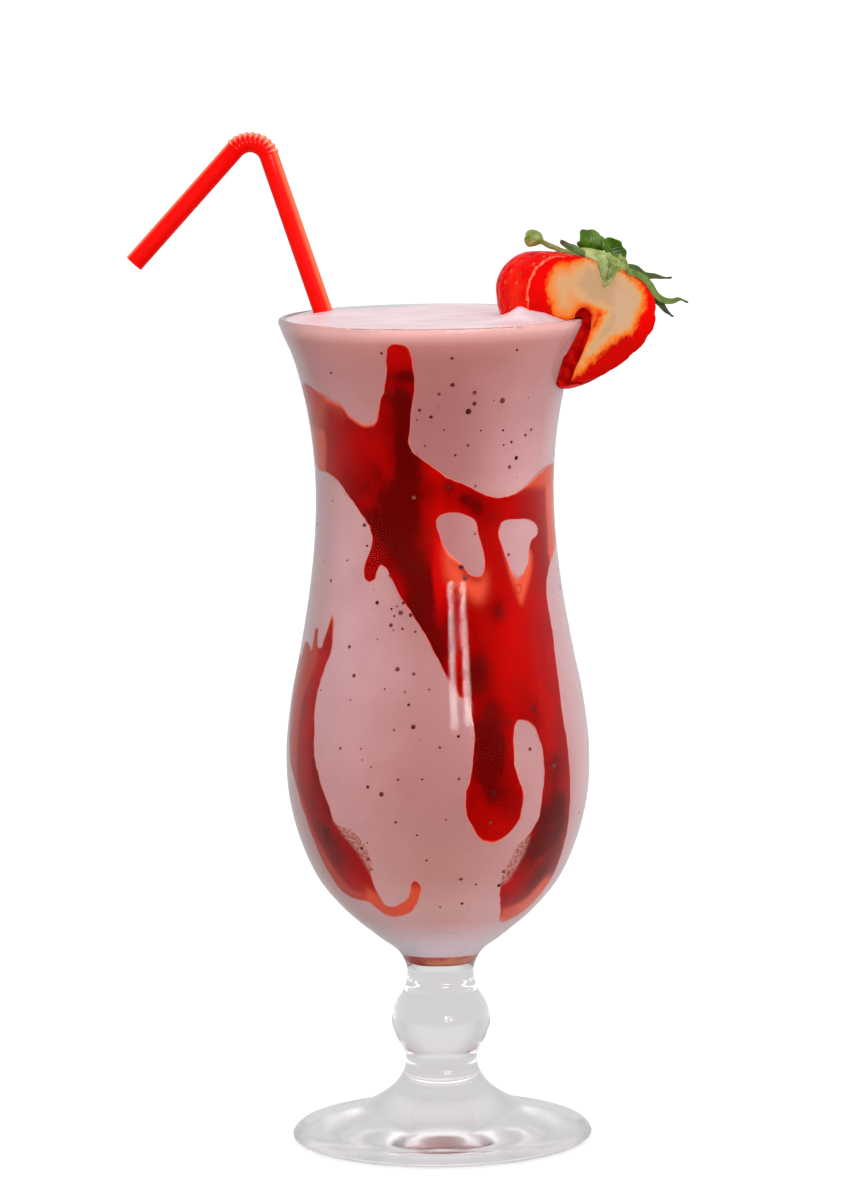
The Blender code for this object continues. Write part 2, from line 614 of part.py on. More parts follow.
def make_leaf(name, group):
    """One leaf as a thin wavy sheet along its path, split into triangles and thickened."""
    path, half_width, side, pointed = LEAVES[name]
    knots = np.array([tuple(from_face(*place)) for place in path])
    total = np.linalg.norm(np.diff(knots, axis=0), axis=1).sum()
    spine = smooth_curve(knots, total / (LEAF_ROWS - 0.5))
    right, up, back = face_frame()
    side = (right * side[0] + up * side[1] + back * side[2]).normalized()
    form = bmesh.new()
    rows = []
    for k, middle in enumerate(spine):
        t = k / (len(spine) - 1)
        ahead = Vector(spine[min(k + 1, len(spine) - 1)] - spine[max(k - 1, 0)]).normalized()
        across = (side - ahead * side.dot(ahead)).normalized()
        facing = ahead.cross(across)
        width = half_width * leaf_width(t, pointed)
        wave = LEAF_WAVE * math.sin(7.0 * t + len(name))
        row = [across * width * s + facing * (LEAF_CUP * width * s * s + wave * s) for s in (-1, 0, 1)]
        rows.append([form.verts.new((Vector(middle) + offset) * MM) for offset in row])
    for near, far in zip(rows, rows[1:]):
        for i in range(2):
            form.faces.new((near[i], near[i + 1], far[i + 1]))
            form.faces.new((near[i], far[i + 1], far[i]))
    mesh = bpy.data.meshes.new(name)
    form.to_mesh(mesh)
    form.free()
    leaf = add_object(name, mesh, group)
    sheet = leaf.modifiers.new("Thickness", "SOLIDIFY")
    sheet.thickness = LEAF_THICKNESS * MM
    sheet.offset = 0.0
    return freeze(leaf)


def make_calyx(group, finish):
    """The cap and its leaves, joined into one solid and kept clear of the berry."""
    leaves = make_collection("leaves_to_join")
    for name in LEAVES:
        make_leaf(name, leaves)
    cap = [(radius, height + CAP_LIFT) for radius, height in CAP_PROFILE]
    calyx = berry_solid("strawberry_calyx", group, cap, CAP_SIDES)
    join = calyx.modifiers.new("Join", "BOOLEAN")
    join.operation = "UNION"
    join.solver = "EXACT"
    join.operand_type = "COLLECTION"
    join.collection = leaves
    calyx = freeze(calyx)
    for leaf in list(leaves.objects):
        bpy.data.objects.remove(leaf, do_unlink=True)
    bpy.data.collections.remove(leaves)
    calyx.data.materials.append(finish)
    shade_round(calyx)
    return calyx


# ==================== the part ====================

def main():
    clear_scene()
    part = make_collection(NAME)
    drink_cutters = make_collection("milkshake_cutters", hidden=True)
    slit = make_collection("slit_cutters", hidden=True)
    berry_room = make_collection("berry_cutters", hidden=True)
    finish = {name: make_finish(name) for name in FINISHES}

    make_glass(part, finish["clear_glass"])
    make_straw(part, drink_cutters, finish["red_straw"])
    for name, runs in SAUCES.items():
        make_sauce(name, runs, part, drink_cutters, finish["strawberry_sauce"])
    slit_cutters(slit)
    make_berry(part, drink_cutters, slit, finish["berry_flesh"])
    calyx = make_calyx(part, finish["leaf_green"])
    as_cutter(berry_solid("calyx_room", berry_room, grown_profile(GAP), BERRY_SIDES, GAP))
    cut_with(calyx, berry_room)
    make_milkshake(part, drink_cutters, finish["strawberry_shake"])


main()
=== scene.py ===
# %% [markdown]
# # A strawberry milkshake in a hurricane glass
#
# This lesson dresses the plain solids of a milkshake: a footed glass, a thick pink drink, red sauce
# that has run down the inside of the wall, a bendy straw, and half a strawberry on the rim. Sizes are
# in millimetres, as a glassmaker would give them, and MM turns them into Blender's metres.
#
# The plain solids come first, because every new piece has to stand exactly where its solid stands.

# %% Load the plain model
import math
import random

import bmesh
import bpy
import numpy as np
from mathutils import Matrix, Vector, noise


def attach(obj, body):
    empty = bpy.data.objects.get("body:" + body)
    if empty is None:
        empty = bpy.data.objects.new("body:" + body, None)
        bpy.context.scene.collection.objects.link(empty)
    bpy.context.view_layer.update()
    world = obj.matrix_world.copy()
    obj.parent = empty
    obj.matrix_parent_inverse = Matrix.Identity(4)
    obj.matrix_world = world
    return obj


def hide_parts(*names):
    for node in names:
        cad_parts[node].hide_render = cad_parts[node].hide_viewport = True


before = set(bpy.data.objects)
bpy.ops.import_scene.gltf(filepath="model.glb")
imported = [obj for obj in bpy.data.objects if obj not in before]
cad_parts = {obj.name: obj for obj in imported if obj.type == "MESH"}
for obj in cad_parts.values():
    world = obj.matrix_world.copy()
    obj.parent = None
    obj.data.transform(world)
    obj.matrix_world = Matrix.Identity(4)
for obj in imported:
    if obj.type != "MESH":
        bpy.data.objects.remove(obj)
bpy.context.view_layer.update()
MM = 0.001
print("solids:", ", ".join(sorted(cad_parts)))

# %% [markdown]
# ## The camera
#
# The glass is seen from about a metre and a half away, a little from above, through a long lens. A long
# lens keeps the ellipses of rim and foot flat and calm. The camera's three directions are worked out
# here and written into one matrix, which is clearer than three angles that depend on one another.

# %% Camera
DISTANCE = 1.527             # metres from the glass's axis
EYE_HEIGHT = 0.3466
LOOK_DOWN = math.radians(7.63)
LENS = 177.9
ROLL = 0.012                 # radians, the camera isn't quite level
ASIDE = 0.00127              # radians, the glass stands a little to the right of the middle

ahead = Vector((0, math.cos(LOOK_DOWN), -math.sin(LOOK_DOWN)))
upright = Vector((0, math.sin(LOOK_DOWN), math.cos(LOOK_DOWN)))
level = Vector((1, 0, 0))
right = (level - upright * ROLL + ahead * ASIDE).normalized()
ahead = (ahead - level * ASIDE).normalized()
up = right.cross(ahead)
camera_data = bpy.data.cameras.new("camera")
camera_data.lens = LENS
camera_data.sensor_width = 36.0
camera_data.clip_end = 100.0
camera = bpy.data.objects.new("camera", camera_data)
camera.matrix_world = Matrix((right, up, -ahead)).transposed().to_4x4()
camera.location = (0, -DISTANCE, EYE_HEIGHT)
bpy.context.scene.collection.objects.link(camera)
bpy.context.scene.camera = camera
print("camera at", [round(c, 3) for c in camera.location])

# %% [markdown]
# ## Finishes as expressions
#
# A finish is a small graph of shader nodes. Wiring it node by node hides what it does, so the two
# classes below let it be written as arithmetic. `Value` wraps an output socket and turns `a * b + c`
# into Math nodes. `Finish` is one material, and its `node` method adds every other kind of node.

# %% Finish helpers
class Value:
    """An output socket that can be used in Python expressions."""

    def __init__(self, finish, socket):
        self.finish, self.socket = finish, socket

    def maths(self, operation, *others, clamp=False):
        values = {i: v for i, v in enumerate((self, *others))}
        return self.finish.node("ShaderNodeMath", {"operation": operation, "use_clamp": clamp}, values)

    def __add__(self, other):
        return self.maths("ADD", other)

    def __sub__(self, other):
        return self.maths("SUBTRACT", other)

    def __rsub__(self, other):
        return self.maths("MULTIPLY", -1.0).maths("ADD", other)

    def __mul__(self, other):
        return self.maths("MULTIPLY", other)

    def __truediv__(self, other):
        return self.maths("DIVIDE", other)

    def __pow__(self, other):
        return self.maths("POWER", other)

    def __neg__(self):
        return self.maths("MULTIPLY", -1.0)

    def clamp(self):
        return self.maths("ADD", 0.0, clamp=True)

    def sin(self):
        return self.maths("SINE")

    def abs(self):
        return self.maths("ABSOLUTE")

    def least(self, other):
        return self.maths("MINIMUM", other)

    def most(self, other):
        return self.maths("MAXIMUM", other)

    def between(self, low, high):
        """0 below low, 1 above high, and a smooth rise from one to the other."""
        return self.finish.node("ShaderNodeMapRange", {"interpolation_type": "SMOOTHSTEP"},
                                {"Value": self, "From Min": low, "From Max": high})

    __radd__ = __add__
    __rmul__ = __mul__


class Finish:
    """A material with its Principled shader."""

    def __init__(self, name, color, roughness, **constants):
        self.material = bpy.data.materials.new(name)
        self.material.use_nodes = True
        self.tree = self.material.node_tree
        self.shader = self.tree.nodes["Principled BSDF"]
        self.put(self.shader, {"Base Color": (*color, 1.0), "Roughness": roughness, **constants})

    def put(self, node, values):
        for name, value in values.items():
            if isinstance(value, Value):
                self.tree.links.new(value.socket, node.inputs[name])
            else:
                node.inputs[name].default_value = value

    def node(self, kind, settings=None, values=None, output=0):
        """Adds a node: its settings first, then the values or links of its sockets."""
        node = self.tree.nodes.new(kind)
        for name, setting in (settings or {}).items():
            if name == "stops":
                ramp = node.color_ramp
                while len(ramp.elements) < len(setting):
                    ramp.elements.new(1.0)
                for element, (place, color) in zip(ramp.elements, setting):
                    element.position, element.color = place, (*color, 1.0)
            else:
                setattr(node, name, setting)
        self.put(node, values or {})
        return Value(self, node.outputs[output])

    def mix(self, amount, first, second):
        """A colour between two others. The Mix node's colour sockets are its inputs 6 and 7."""
        values = {0: amount}
        for slot, color in ((6, first), (7, second)):
            values[slot] = color if isinstance(color, Value) else (*color, 1.0)
        return self.node("ShaderNodeMix", {"data_type": "RGBA"}, values, output=2)

    def place(self):
        """The place on the object, in metres."""
        return self.node("ShaderNodeTexCoord", output=3)

    def attribute(self, name):
        return self.node("ShaderNodeAttribute", {"attribute_name": name}, output=2)

    def noise(self, scale, detail=2.0, place=None, stretch=(1, 1, 1)):
        """Soft random values from 0 to 1. The scale is in features for each metre."""
        where = self.node("ShaderNodeMapping", None, {0: place or self.place(), 3: stretch})
        return self.node("ShaderNodeTexNoise", None, {"Vector": where, "Scale": scale, "Detail": detail})

    def color(self, value):
        self.put(self.shader, {"Base Color": value})

    def bump(self, height, distance, strength=1.0):
        relief = self.node("ShaderNodeBump", None,
                           {"Height": height, "Distance": distance, "Strength": strength})
        self.put(self.shader, {"Normal": relief})


def wear(piece, finish):
    """Gives a piece its finish, and puts it on the one body of the model."""
    if not piece.data.materials:
        piece.data.materials.append(finish.material)
    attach(piece, "root")


print("finish helpers ready")

# %% [markdown]
# ## Turning on a lathe
#
# The glass and the drink in it are round, so each is drawn as one outline and spun about its axis, as
# on a lathe. A glass's outline is never made of straight lines and arcs: it is one flowing curve. So
# only a few stations are given, and a Catmull-Rom curve runs through them all.

# %% Curves and the lathe
def smooth_curve(points, step):
    """Points about one step apart on a smooth curve through all the given ones."""
    knots = np.array(points, float)
    length = np.concatenate([[0.0], np.cumsum(np.linalg.norm(np.diff(knots, axis=0), axis=1))])
    slope = np.gradient(knots, length, axis=0)
    at = np.linspace(0.0, length[-1], max(2, int(length[-1] / step) + 1))
    span = np.clip(np.searchsorted(length, at, side="right") - 1, 0, len(length) - 2)
    width = (length[span + 1] - length[span])[:, None]
    t = (at - length[span])[:, None] / width
    return ((2 * t**3 - 3 * t**2 + 1) * knots[span] + (t**3 - 2 * t**2 + t) * width * slope[span]
            + (3 * t**2 - 2 * t**3) * knots[span + 1] + (t**3 - t**2) * width * slope[span + 1])


def deselect():
    if bpy.context.object and bpy.context.object.mode != "OBJECT":
        bpy.ops.object.mode_set(mode="OBJECT")
    bpy.ops.object.select_all(action="DESELECT")


def name_it(name):
    piece = bpy.context.object
    piece.name = piece.data.name = name
    return piece


def select_only(piece):
    deselect()
    piece.select_set(True)
    bpy.context.view_layer.objects.active = piece


def edit(piece):
    select_only(piece)
    bpy.ops.object.mode_set(mode="EDIT")


def apply_modifiers(piece):
    select_only(piece)
    for modifier in list(piece.modifiers):
        bpy.ops.object.modifier_apply(modifier=modifier.name)


def thicken(piece, thickness, offset):
    """Gives a sheet a wall. Offset -1 grows it behind the sheet, 0 on both sides."""
    wall = piece.modifiers.new("thickness", "SOLIDIFY")
    wall.thickness = thickness * MM
    wall.offset = offset
    apply_modifiers(piece)


def turn(name, outline, sides):
    """Draws an outline of (radius, height) by extruding one point, and spins it round the Z axis."""
    deselect()
    radius, height = outline[0]
    bpy.ops.mesh.primitive_plane_add(size=MM, location=(radius * MM, 0, height * MM))
    piece = name_it(name)
    bpy.ops.object.transform_apply(location=True)
    bpy.ops.object.mode_set(mode="EDIT")
    bpy.ops.mesh.select_mode(type="VERT")
    bpy.ops.mesh.select_all(action="SELECT")
    bpy.ops.mesh.merge(type="CENTER")
    for radius_to, height_to in outline[1:]:
        step = ((radius_to - radius) * MM, 0, (height_to - height) * MM)
        bpy.ops.mesh.extrude_vertices_move(TRANSFORM_OT_translate={"value": step})
        radius, height = radius_to, height_to
    bpy.ops.mesh.select_all(action="SELECT")
    bpy.ops.mesh.spin(steps=sides, angle=2 * math.pi, center=(0, 0, 0), axis=(0, 0, 1))
    bpy.ops.mesh.select_all(action="SELECT")
    bpy.ops.mesh.remove_doubles(threshold=0.001 * MM)
    bpy.ops.mesh.normals_make_consistent(inside=False)
    bpy.ops.object.mode_set(mode="OBJECT")
    return piece


def shade_round(piece, degrees=40):
    select_only(piece)
    bpy.ops.object.shade_smooth_by_angle(angle=math.radians(degrees))


def corners(piece):
    """The places of a mesh's vertices, in millimetres."""
    places = np.empty(len(piece.data.vertices) * 3)
    piece.data.vertices.foreach_get("co", places)
    return places.reshape(-1, 3) / MM


def move_corners(piece, places):
    piece.data.vertices.foreach_set("co", (places * MM).ravel())
    piece.data.update()


def write_attribute(piece, name, values):
    """Stores one number for each vertex, which the finish can read by name."""
    piece.data.attributes.new(name, "FLOAT", "POINT").data.foreach_set("value", values.astype(np.float32))


print("lathe ready")

# %% [markdown]
# ## The glass
#
# A hurricane glass has a wide rim, a waist, a full belly, a stem with a knop, and a broad foot. It is one
# body of glass, so it is one closed outline: up the inside of the bowl, over the rounded lip, down the
# outside, and back under the foot. A closed body matters, because the light bends where it enters and
# where it leaves, and a single skin would bend it only once.
#
# The glass itself is nearly colourless. The thick foot and stem are a trace more tinted than the bowl, and
# the foot's gloss is a little soft, because it is pressed in a mould and not blown.

# %% Glass
RIM_RADIUS, RIM_HEIGHT, LIP = 40.0, 216.0, 1.0
BOWL_OUTSIDE = [(39.9, 214.8), (38.7, 211.5), (36.9, 207.5), (34.2, 198.5), (32.3, 189.0), (30.9, 173.0),
                (31.1, 162.0), (32.7, 146.0), (35.1, 131.5), (38.2, 115.5), (39.5, 102.5), (38.9, 91.0),
                (36.0, 79.3), (31.2, 68.9), (24.6, 61.0), (16.4, 54.0), (10.6, 49.3)]
STEM_OUTSIDE = [(8.7, 45.0), (9.4, 40.0), (12.1, 35.1), (12.9, 31.0), (11.6, 26.6), (9.4, 22.3),
                (9.6, 18.6), (12.2, 14.2), (17.0, 10.4), (24.0, 7.0), (33.0, 4.2), (38.4, 2.6), (39.2, 1.4)]
BOWL_INSIDE = [(0.0, 47.3), (4.4, 47.7), (6.9, 49.6), (10.8, 53.0), (17.8, 59.0), (24.8, 66.0), (29.6, 73.0),
               (34.0, 82.5), (36.8, 92.5), (37.3, 102.5), (36.0, 115.5), (33.0, 131.5), (30.6, 146.0),
               (29.0, 162.0), (28.8, 173.0), (30.2, 189.0), (32.1, 198.5), (34.8, 207.5), (36.6, 211.5),
               (37.9, 214.8)]
SIDES = 144

INNER_WALL = smooth_curve(BOWL_INSIDE, 1.2)


def inner_radius(height):
    """Radius of the glass's inner wall at a height."""
    return np.interp(height, INNER_WALL[:, 1], INNER_WALL[:, 0])


def glass_outline():
    lip = [(RIM_RADIUS - LIP * (1 + math.cos(angle)), RIM_HEIGHT - LIP * (1 - math.sin(angle)))
           for angle in np.linspace(0.0, math.pi, 10)]
    outside = smooth_curve(BOWL_OUTSIDE + STEM_OUTSIDE, 1.2)
    foot = [(38.9, 0.7), (38.3, 0.2), (37.0, 0.0), (20.0, 0.0), (0.0, 0.0)]
    return [*map(tuple, INNER_WALL[:-1]), *lip, *map(tuple, outside[1:]), *foot]


glass = turn("glass_clear", glass_outline(), SIDES)
shade_round(glass)
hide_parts("glass")
print("glass:", len(glass.data.polygons), "faces")

# %% Glass finish
FOOT_HEIGHTS = (0.024, 0.040)            # metres: soft below the first, polished above the second
FOOT_ROUGHNESS = 0.10
STEM_HEIGHTS = (0.040, 0.052)            # metres: tinted below the first, nearly colourless above

clear_glass = Finish("clear_glass", (1, 1, 1), 0.0, **{
    "Transmission Weight": 1.0, "IOR": 1.48, "Specular Tint": (0.08, 0.08, 0.08, 1.0)})
height = clear_glass.node("ShaderNodeSeparateXYZ", None, {0: clear_glass.place()}, output=2)
clear_glass.color(clear_glass.mix(height.between(*STEM_HEIGHTS), (0.985, 0.955, 0.975),
                                  (0.985, 0.985, 0.985)))
clear_glass.put(clear_glass.shader, {"Roughness": (1.0 - height.between(*FOOT_HEIGHTS)) * FOOT_ROUGHNESS})
wear(glass, clear_glass)
print("glass finished")

# %% [markdown]
# ## The milkshake
#
# The drink fills the bowl and touches the glass everywhere. A surface that lies exactly on the glass
# would flicker, and one that stops short would show a bright line of air, so the drink reaches a tenth
# of a millimetre into the wall. Its top isn't flat: thick foam stands in soft heaps, highest where the
# strawberry was pushed in.
#
# A milkshake isn't one pink either, and here its colour also carries painted light and shade. A table of
# belts gives the colour by height: salmon under the foam, deeper at the neck and paler at the bottom.
# The belts paint shade where the bowl turns down, away from the light above, and paint light where it
# faces up and at the bottom, which light from below reaches. They are given once for the middle and once
# for the flanks, which are painted paler for the light that also comes in from the side. Along its
# outermost edge the drink is painted paler still, for the glancing reflection there.

# %% Milkshake
LEVEL = 215.4
DRINK_REACH = 0.1
HEAPS = [(12, -8, 1.0, 17), (27, -17, 2.2, 7), (22.5, -18.5, 2.0, 2.4), (-23, 12.5, 1.4, 4.2),
         (4, 22, 0.9, 15)]
EDGE_FADE = 4.0


def reach_out(outline, distance):
    """An outline moved square to itself, away from the drink."""
    ahead = np.gradient(outline, axis=0)
    side = np.stack([ahead[:, 1], -ahead[:, 0]], axis=-1)
    moved = outline + distance * side / np.linalg.norm(side, axis=1)[:, None]
    moved[0, 0] = 0.0
    return moved


def foam_height(x, y):
    """Height of the foam at a place: the heaps, long soft folds, and a fine unevenness."""
    heaped = sum(tall * math.exp(-((x - at_x)**2 + (y - at_y)**2) / (2 * spread**2))
                 for at_x, at_y, tall, spread in HEAPS)
    folds = noise.noise(Vector((x / 16, y / 5, 3.0))) * 0.5
    fine = noise.noise(Vector((x / 2.6, y / 2.6, 7.0))) * 0.12
    return LEVEL + heaped + folds + fine


side_wall = reach_out(INNER_WALL, DRINK_REACH)
side_wall = side_wall[side_wall[:, 1] < LEVEL - 0.5][::-1]
brim = float(inner_radius(LEVEL)) + DRINK_REACH
top = [(brim * k / 56, LEVEL) for k in range(57)]
drink = turn("milkshake_pink", top + [tuple(p) for p in side_wall], SIDES)
places = corners(drink)
for k in np.nonzero(places[:, 2] > LEVEL - 0.1)[0]:
    x, y, _ = places[k]
    fade = min(1.0, max(0.0, (brim - math.hypot(x, y)) / EDGE_FADE))
    places[k, 2] = LEVEL + (foam_height(x, y) - LEVEL) * fade
move_corners(drink, places)
shade_round(drink, 50)
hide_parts("milkshake")
print("milkshake:", len(drink.data.polygons), "faces")

# %% Milkshake finishes
SHAKE_PINK = (0.60, 0.27, 0.27)
# The drink's colour by height in metres, with painted shade and light: in the middle of its front and
# back, and towards its flanks, where it is painted paler for the side light.
SHAKE_SHADE_BELTS = [(0.054, (0.86, 0.68, 0.72), (0.86, 0.68, 0.72)),
               (0.062, (0.66, 0.34, 0.31), (0.78, 0.46, 0.46)),
               (0.067, (0.63, 0.335, 0.31), (0.76, 0.44, 0.44)),
               (0.075, (0.53, 0.25, 0.225), (0.70, 0.37, 0.365)),
               (0.098, (0.45, 0.195, 0.185), (0.66, 0.345, 0.345)),
               (0.130, (0.50, 0.235, 0.235), (0.72, 0.415, 0.425)),
               (0.147, (0.44, 0.18, 0.178), (0.72, 0.41, 0.42)),
               (0.165, (0.47, 0.19, 0.187), (0.74, 0.42, 0.42)),
               (0.195, (0.42, 0.158, 0.15), (0.66, 0.335, 0.335)),
               (0.208, (0.45, 0.17, 0.155), (0.64, 0.29, 0.28)),
               (0.2118, (0.57, 0.225, 0.205), (0.64, 0.275, 0.255)),
               (0.2147, (0.86, 0.46, 0.43), (0.86, 0.46, 0.43))]
# painted reflection: the drink's outermost edge is painted paler for the glancing reflection there
SHAKE_EDGE_REFLECTION = (0.80, 0.52, 0.54)

shake_pink = Finish("shake_pink", SHAKE_PINK, 0.5, **{"Specular IOR Level": 0.0})
mottle = shake_pink.noise(90.0, 3.0)
sideways, forwards, height = (
    shake_pink.node("ShaderNodeSeparateXYZ", None, {0: shake_pink.place()}, output=k) for k in range(3))
aside = sideways.abs() / (sideways * sideways + forwards * forwards)**0.5
# painted light: towards the flanks the drink takes paler colours that stand for the light coming in from the
# side
painted_side_light = (aside + (mottle - 0.5) * 0.4).between(0.05, 0.95)
low, high = SHAKE_SHADE_BELTS[0][0], SHAKE_SHADE_BELTS[-1][0]
middle_stops = [((at - low) / (high - low), color) for at, color, _ in SHAKE_SHADE_BELTS]
painted_side_light_stops = [((at - low) / (high - low), color) for at, _, color in SHAKE_SHADE_BELTS]
middle, side = (
    shake_pink.node("ShaderNodeValToRGB", {"stops": stops}, {0: (height - low) / (high - low)})
    for stops in (middle_stops, painted_side_light_stops))
# the flanks get their painted side light, then the outermost edge its painted reflection
shake_pink.color(shake_pink.mix(aside.between(0.88, 0.995), shake_pink.mix(painted_side_light, middle, side), SHAKE_EDGE_REFLECTION))

shake_foam = Finish("shake_foam", (0.84, 0.68, 0.73), 0.38, **{"Specular IOR Level": 0.35})
streaks = shake_foam.noise(60.0, 3.0, stretch=(1.0, 4.0, 1.0))
foam_color = shake_foam.mix(streaks.between(0.35, 0.68), (0.78, 0.645, 0.695), (0.71, 0.52, 0.56))
shake_foam.color(foam_color)
shake_foam.bump(shake_foam.noise(900.0, 3.0), 0.00012, 0.6)

drink.data.materials.append(shake_pink.material)
drink.data.materials.append(shake_foam.material)
for face in drink.data.polygons:
    face.material_index = int(face.center.z > (LEVEL - 0.2) * MM and face.normal.z > 0.5)
wear(drink, shake_pink)
print("milkshake finished")

# %% [markdown]
# ## Sauce on the inside of the wall
#
# The sauce was poured round the inside of the glass before the drink, and ran down it in fingers and
# drips. Round the back, a few runs are enough: a run has a path and a width that swells and narrows, and
# runs melt into each other where they meet. The front is what everyone looks at, so its border is drawn
# as an outline, with two holes. Either way the wall is unrolled flat, and one number is worked out for
# every place on it: how far it lies outside the sauce.

# %% Runs and outlines of sauce
UNROLLED_RADIUS = 36.0
SAUCE_FILLET = 1.5
RUN_STEP = 0.8
RUNS = {
    "sauce_band": {
        "left_arm": [(-136, 184, 5.0), (-120, 189, 7.5), (-98, 190, 9.0), (-84, 190, 8.6)],
        "right_arm": [(84, 168, 9.0), (96, 171, 7.6), (108, 174, 6.0), (130, 179, 4.8), (152, 183, 5.4),
                      (176, 184, 6.0)],
        "side_drip": [(96, 168, 4.5), (97, 150, 2.8), (98, 132, 3.2), (100, 118, 4.6)],
        "back_drip_a": [(138, 178, 4.0), (139, 160, 2.6), (141, 140, 2.9), (144, 121, 4.2), (145, 111, 5.4)],
        "back_drip_b": [(176, 180, 5.0), (178, 160, 4.2), (180, 138, 5.0), (178, 115, 5.8), (176, 99, 7.2)],
        "far_drip": [(-132, 186, 5.0), (-131, 168, 2.8), (-129, 152, 2.6), (-128, 141, 3.8)],
    },
    "sauce_streak": {},
    "sauce_back_streak": {
        "back_streak": [(-84, 127, 1.6), (-96, 114, 3.6), (-106, 99, 4.4), (-108, 86, 3.4)],
    },
}
OUTLINES = {
    "sauce_band": [
        (-18.3, 211.1), (-16.5, 212.1), (-13.6, 212.5), (-10.9, 212.1), (-9.5, 211.3), (-8.8, 209.9),
        (-8.4, 207.3), (-7.9, 204.4), (-8, 200.1), (-9.3, 196.1), (-10.6, 192.4), (-11.5, 189.1),
        (-11.7, 186), (-10.4, 184.4), (-8.1, 183.2), (-2, 180.6), (7.2, 177.2), (17.7, 174.8),
        (25.7, 172.6), (32.4, 171.4), (37.8, 171.4), (43, 172), (50.8, 174), (61, 176.6), (75.7, 178.2),
        (82, 178), (92, 178), (92, 160), (84, 156), (71.9, 153), (65.5, 149), (63.1, 145.8),
        (62.5, 142.3), (62.6, 134.3), (61.3, 128.8), (60.2, 123.2), (59.5, 113.5), (60.8, 105.9),
        (61.7, 96.7), (63, 91.1), (65.5, 84.2), (68.2, 76.2), (68.9, 70.4), (65.8, 64.8), (55.2, 61.8),
        (50.5, 61.2), (44.8, 61.7), (38, 64.8), (34, 67.8), (31.8, 70.4), (30.8, 72.7), (30.6, 74.7),
        (32.6, 78.5), (35.3, 82.6), (38.6, 84.2), (42.8, 88.8), (44.1, 95.4), (44.7, 99.2), (44.6, 103.1),
        (43.1, 109.1), (40.8, 112.6), (36.8, 114.6), (34.9, 114.8), (33.3, 114.3), (31.5, 111.5),
        (30.9, 108.1), (31.4, 102.7), (34, 97.9), (34.9, 95.5), (35.1, 92.8), (34.5, 90.2), (32.5, 88.2),
        (27.9, 85.4), (25.3, 84.3), (22.2, 83.9), (18.7, 84.4), (15.6, 85.9), (12.1, 89.6), (10.9, 91.5),
        (10.3, 93.9), (10.5, 97), (12.2, 100.6), (13.2, 105.9), (13.9, 111.3), (13.3, 117), (12.5, 120.8),
        (9.6, 121.4), (7.3, 123.4), (4.2, 126.2), (-0.2, 131.9), (-5.4, 137.2), (-10.4, 141.9),
        (-16.2, 146.2), (-21.9, 151.5), (-24.6, 154), (-27.3, 154.6), (-28.9, 153.1), (-29.8, 151),
        (-33, 150.1), (-36.1, 151.3), (-36.8, 153), (-35.8, 155.6), (-33.5, 158.3), (-32.4, 160.1),
        (-33.7, 163.9), (-37.2, 166.3), (-41.6, 168.5), (-45.5, 170.6), (-50.9, 173.5), (-57.1, 175.8),
        (-64.4, 177.1), (-74, 177), (-84, 178.6), (-92, 181), (-92, 198.5), (-84, 199.4), (-75.3, 200.3),
        (-69.5, 199.8), (-59.4, 198.5), (-50.8, 196.8), (-45.5, 195.4), (-42.5, 193.2), (-38.2, 192.1),
        (-33.4, 190.9), (-28.9, 191.6), (-26.7, 194.5), (-25.1, 197.4), (-22.7, 199.9), (-21.1, 202.4),
        (-19.9, 205.1), (-19.5, 207.7)],
    "sauce_streak": [
        (-55.7, 141.7), (-53.3, 139), (-53, 137), (-52.5, 133.2), (-52.6, 131.1), (-54.3, 128.2),
        (-55.9, 125.1), (-57.9, 119), (-57.9, 114.9), (-56.6, 111.5), (-55.4, 104.6), (-51.9, 98.9),
        (-48, 93.2), (-44.8, 87.9), (-41.7, 87.3), (-37.7, 87.1), (-34.8, 85.4), (-32.9, 83.6),
        (-31.2, 81), (-31.1, 78.3), (-32.9, 75.4), (-32.7, 71.2), (-30.7, 67.3), (-26.9, 67),
        (-22.7, 67.6), (-17.5, 68.9), (-15.6, 70.2), (-14.4, 71.8), (-13.4, 73.6), (-11.2, 74.4), (-9, 73.4),
        (-9.2, 71.2), (-11, 69.1), (-17, 65.4), (-21.7, 64.4), (-26.3, 63.9), (-32, 64.0),
        (-36.1, 64.9), (-40.5, 67.5), (-49.8, 67.8), (-59.4, 69.9), (-61.9, 74.1), (-64.5, 81.3),
        (-66.6, 88.5), (-72.2, 96.5), (-77.9, 100.9), (-81, 106.3), (-85, 114.8), (-85, 121.4),
        (-83.5, 126.8), (-81, 130.8), (-77.8, 132.4), (-72.7, 131.8), (-69.5, 130.7), (-68.9, 133.3),
        (-68.1, 136.7), (-65.5, 136.8), (-64.7, 134.2), (-63.3, 132.2), (-60.5, 131.9), (-59, 134.6),
        (-57.2, 138.3)],
}
HOLES = {"sauce_band": [
    [(0.8, 166.5), (2.4, 167.5), (4.9, 168), (8.9, 168.2), (12.4, 168), (15.4, 167.4), (18.4, 166.6),
     (20, 165.8), (21.3, 162.4), (23.1, 159.1), (24.2, 155.2), (23.5, 153.2), (22.3, 152),
     (19.7, 151.8), (17.2, 152.1), (13, 155), (7.3, 157.8), (4, 160.1), (2.1, 162.9), (0.8, 165)],
    [(34.3, 164.6), (36.2, 165.3), (38.7, 165.5), (44.5, 165.3), (51, 165), (55.8, 164.2), (59.2, 163),
     (60.6, 161.7), (59.4, 160.7), (54.7, 159.7), (52.8, 158.5), (51.5, 156.5), (51.0, 154.6),
     (48.4, 152.6), (45, 151.0), (41.8, 151.2), (39.4, 152.6), (37.4, 155), (34.7, 158.7), (32.9, 162.4)]]}


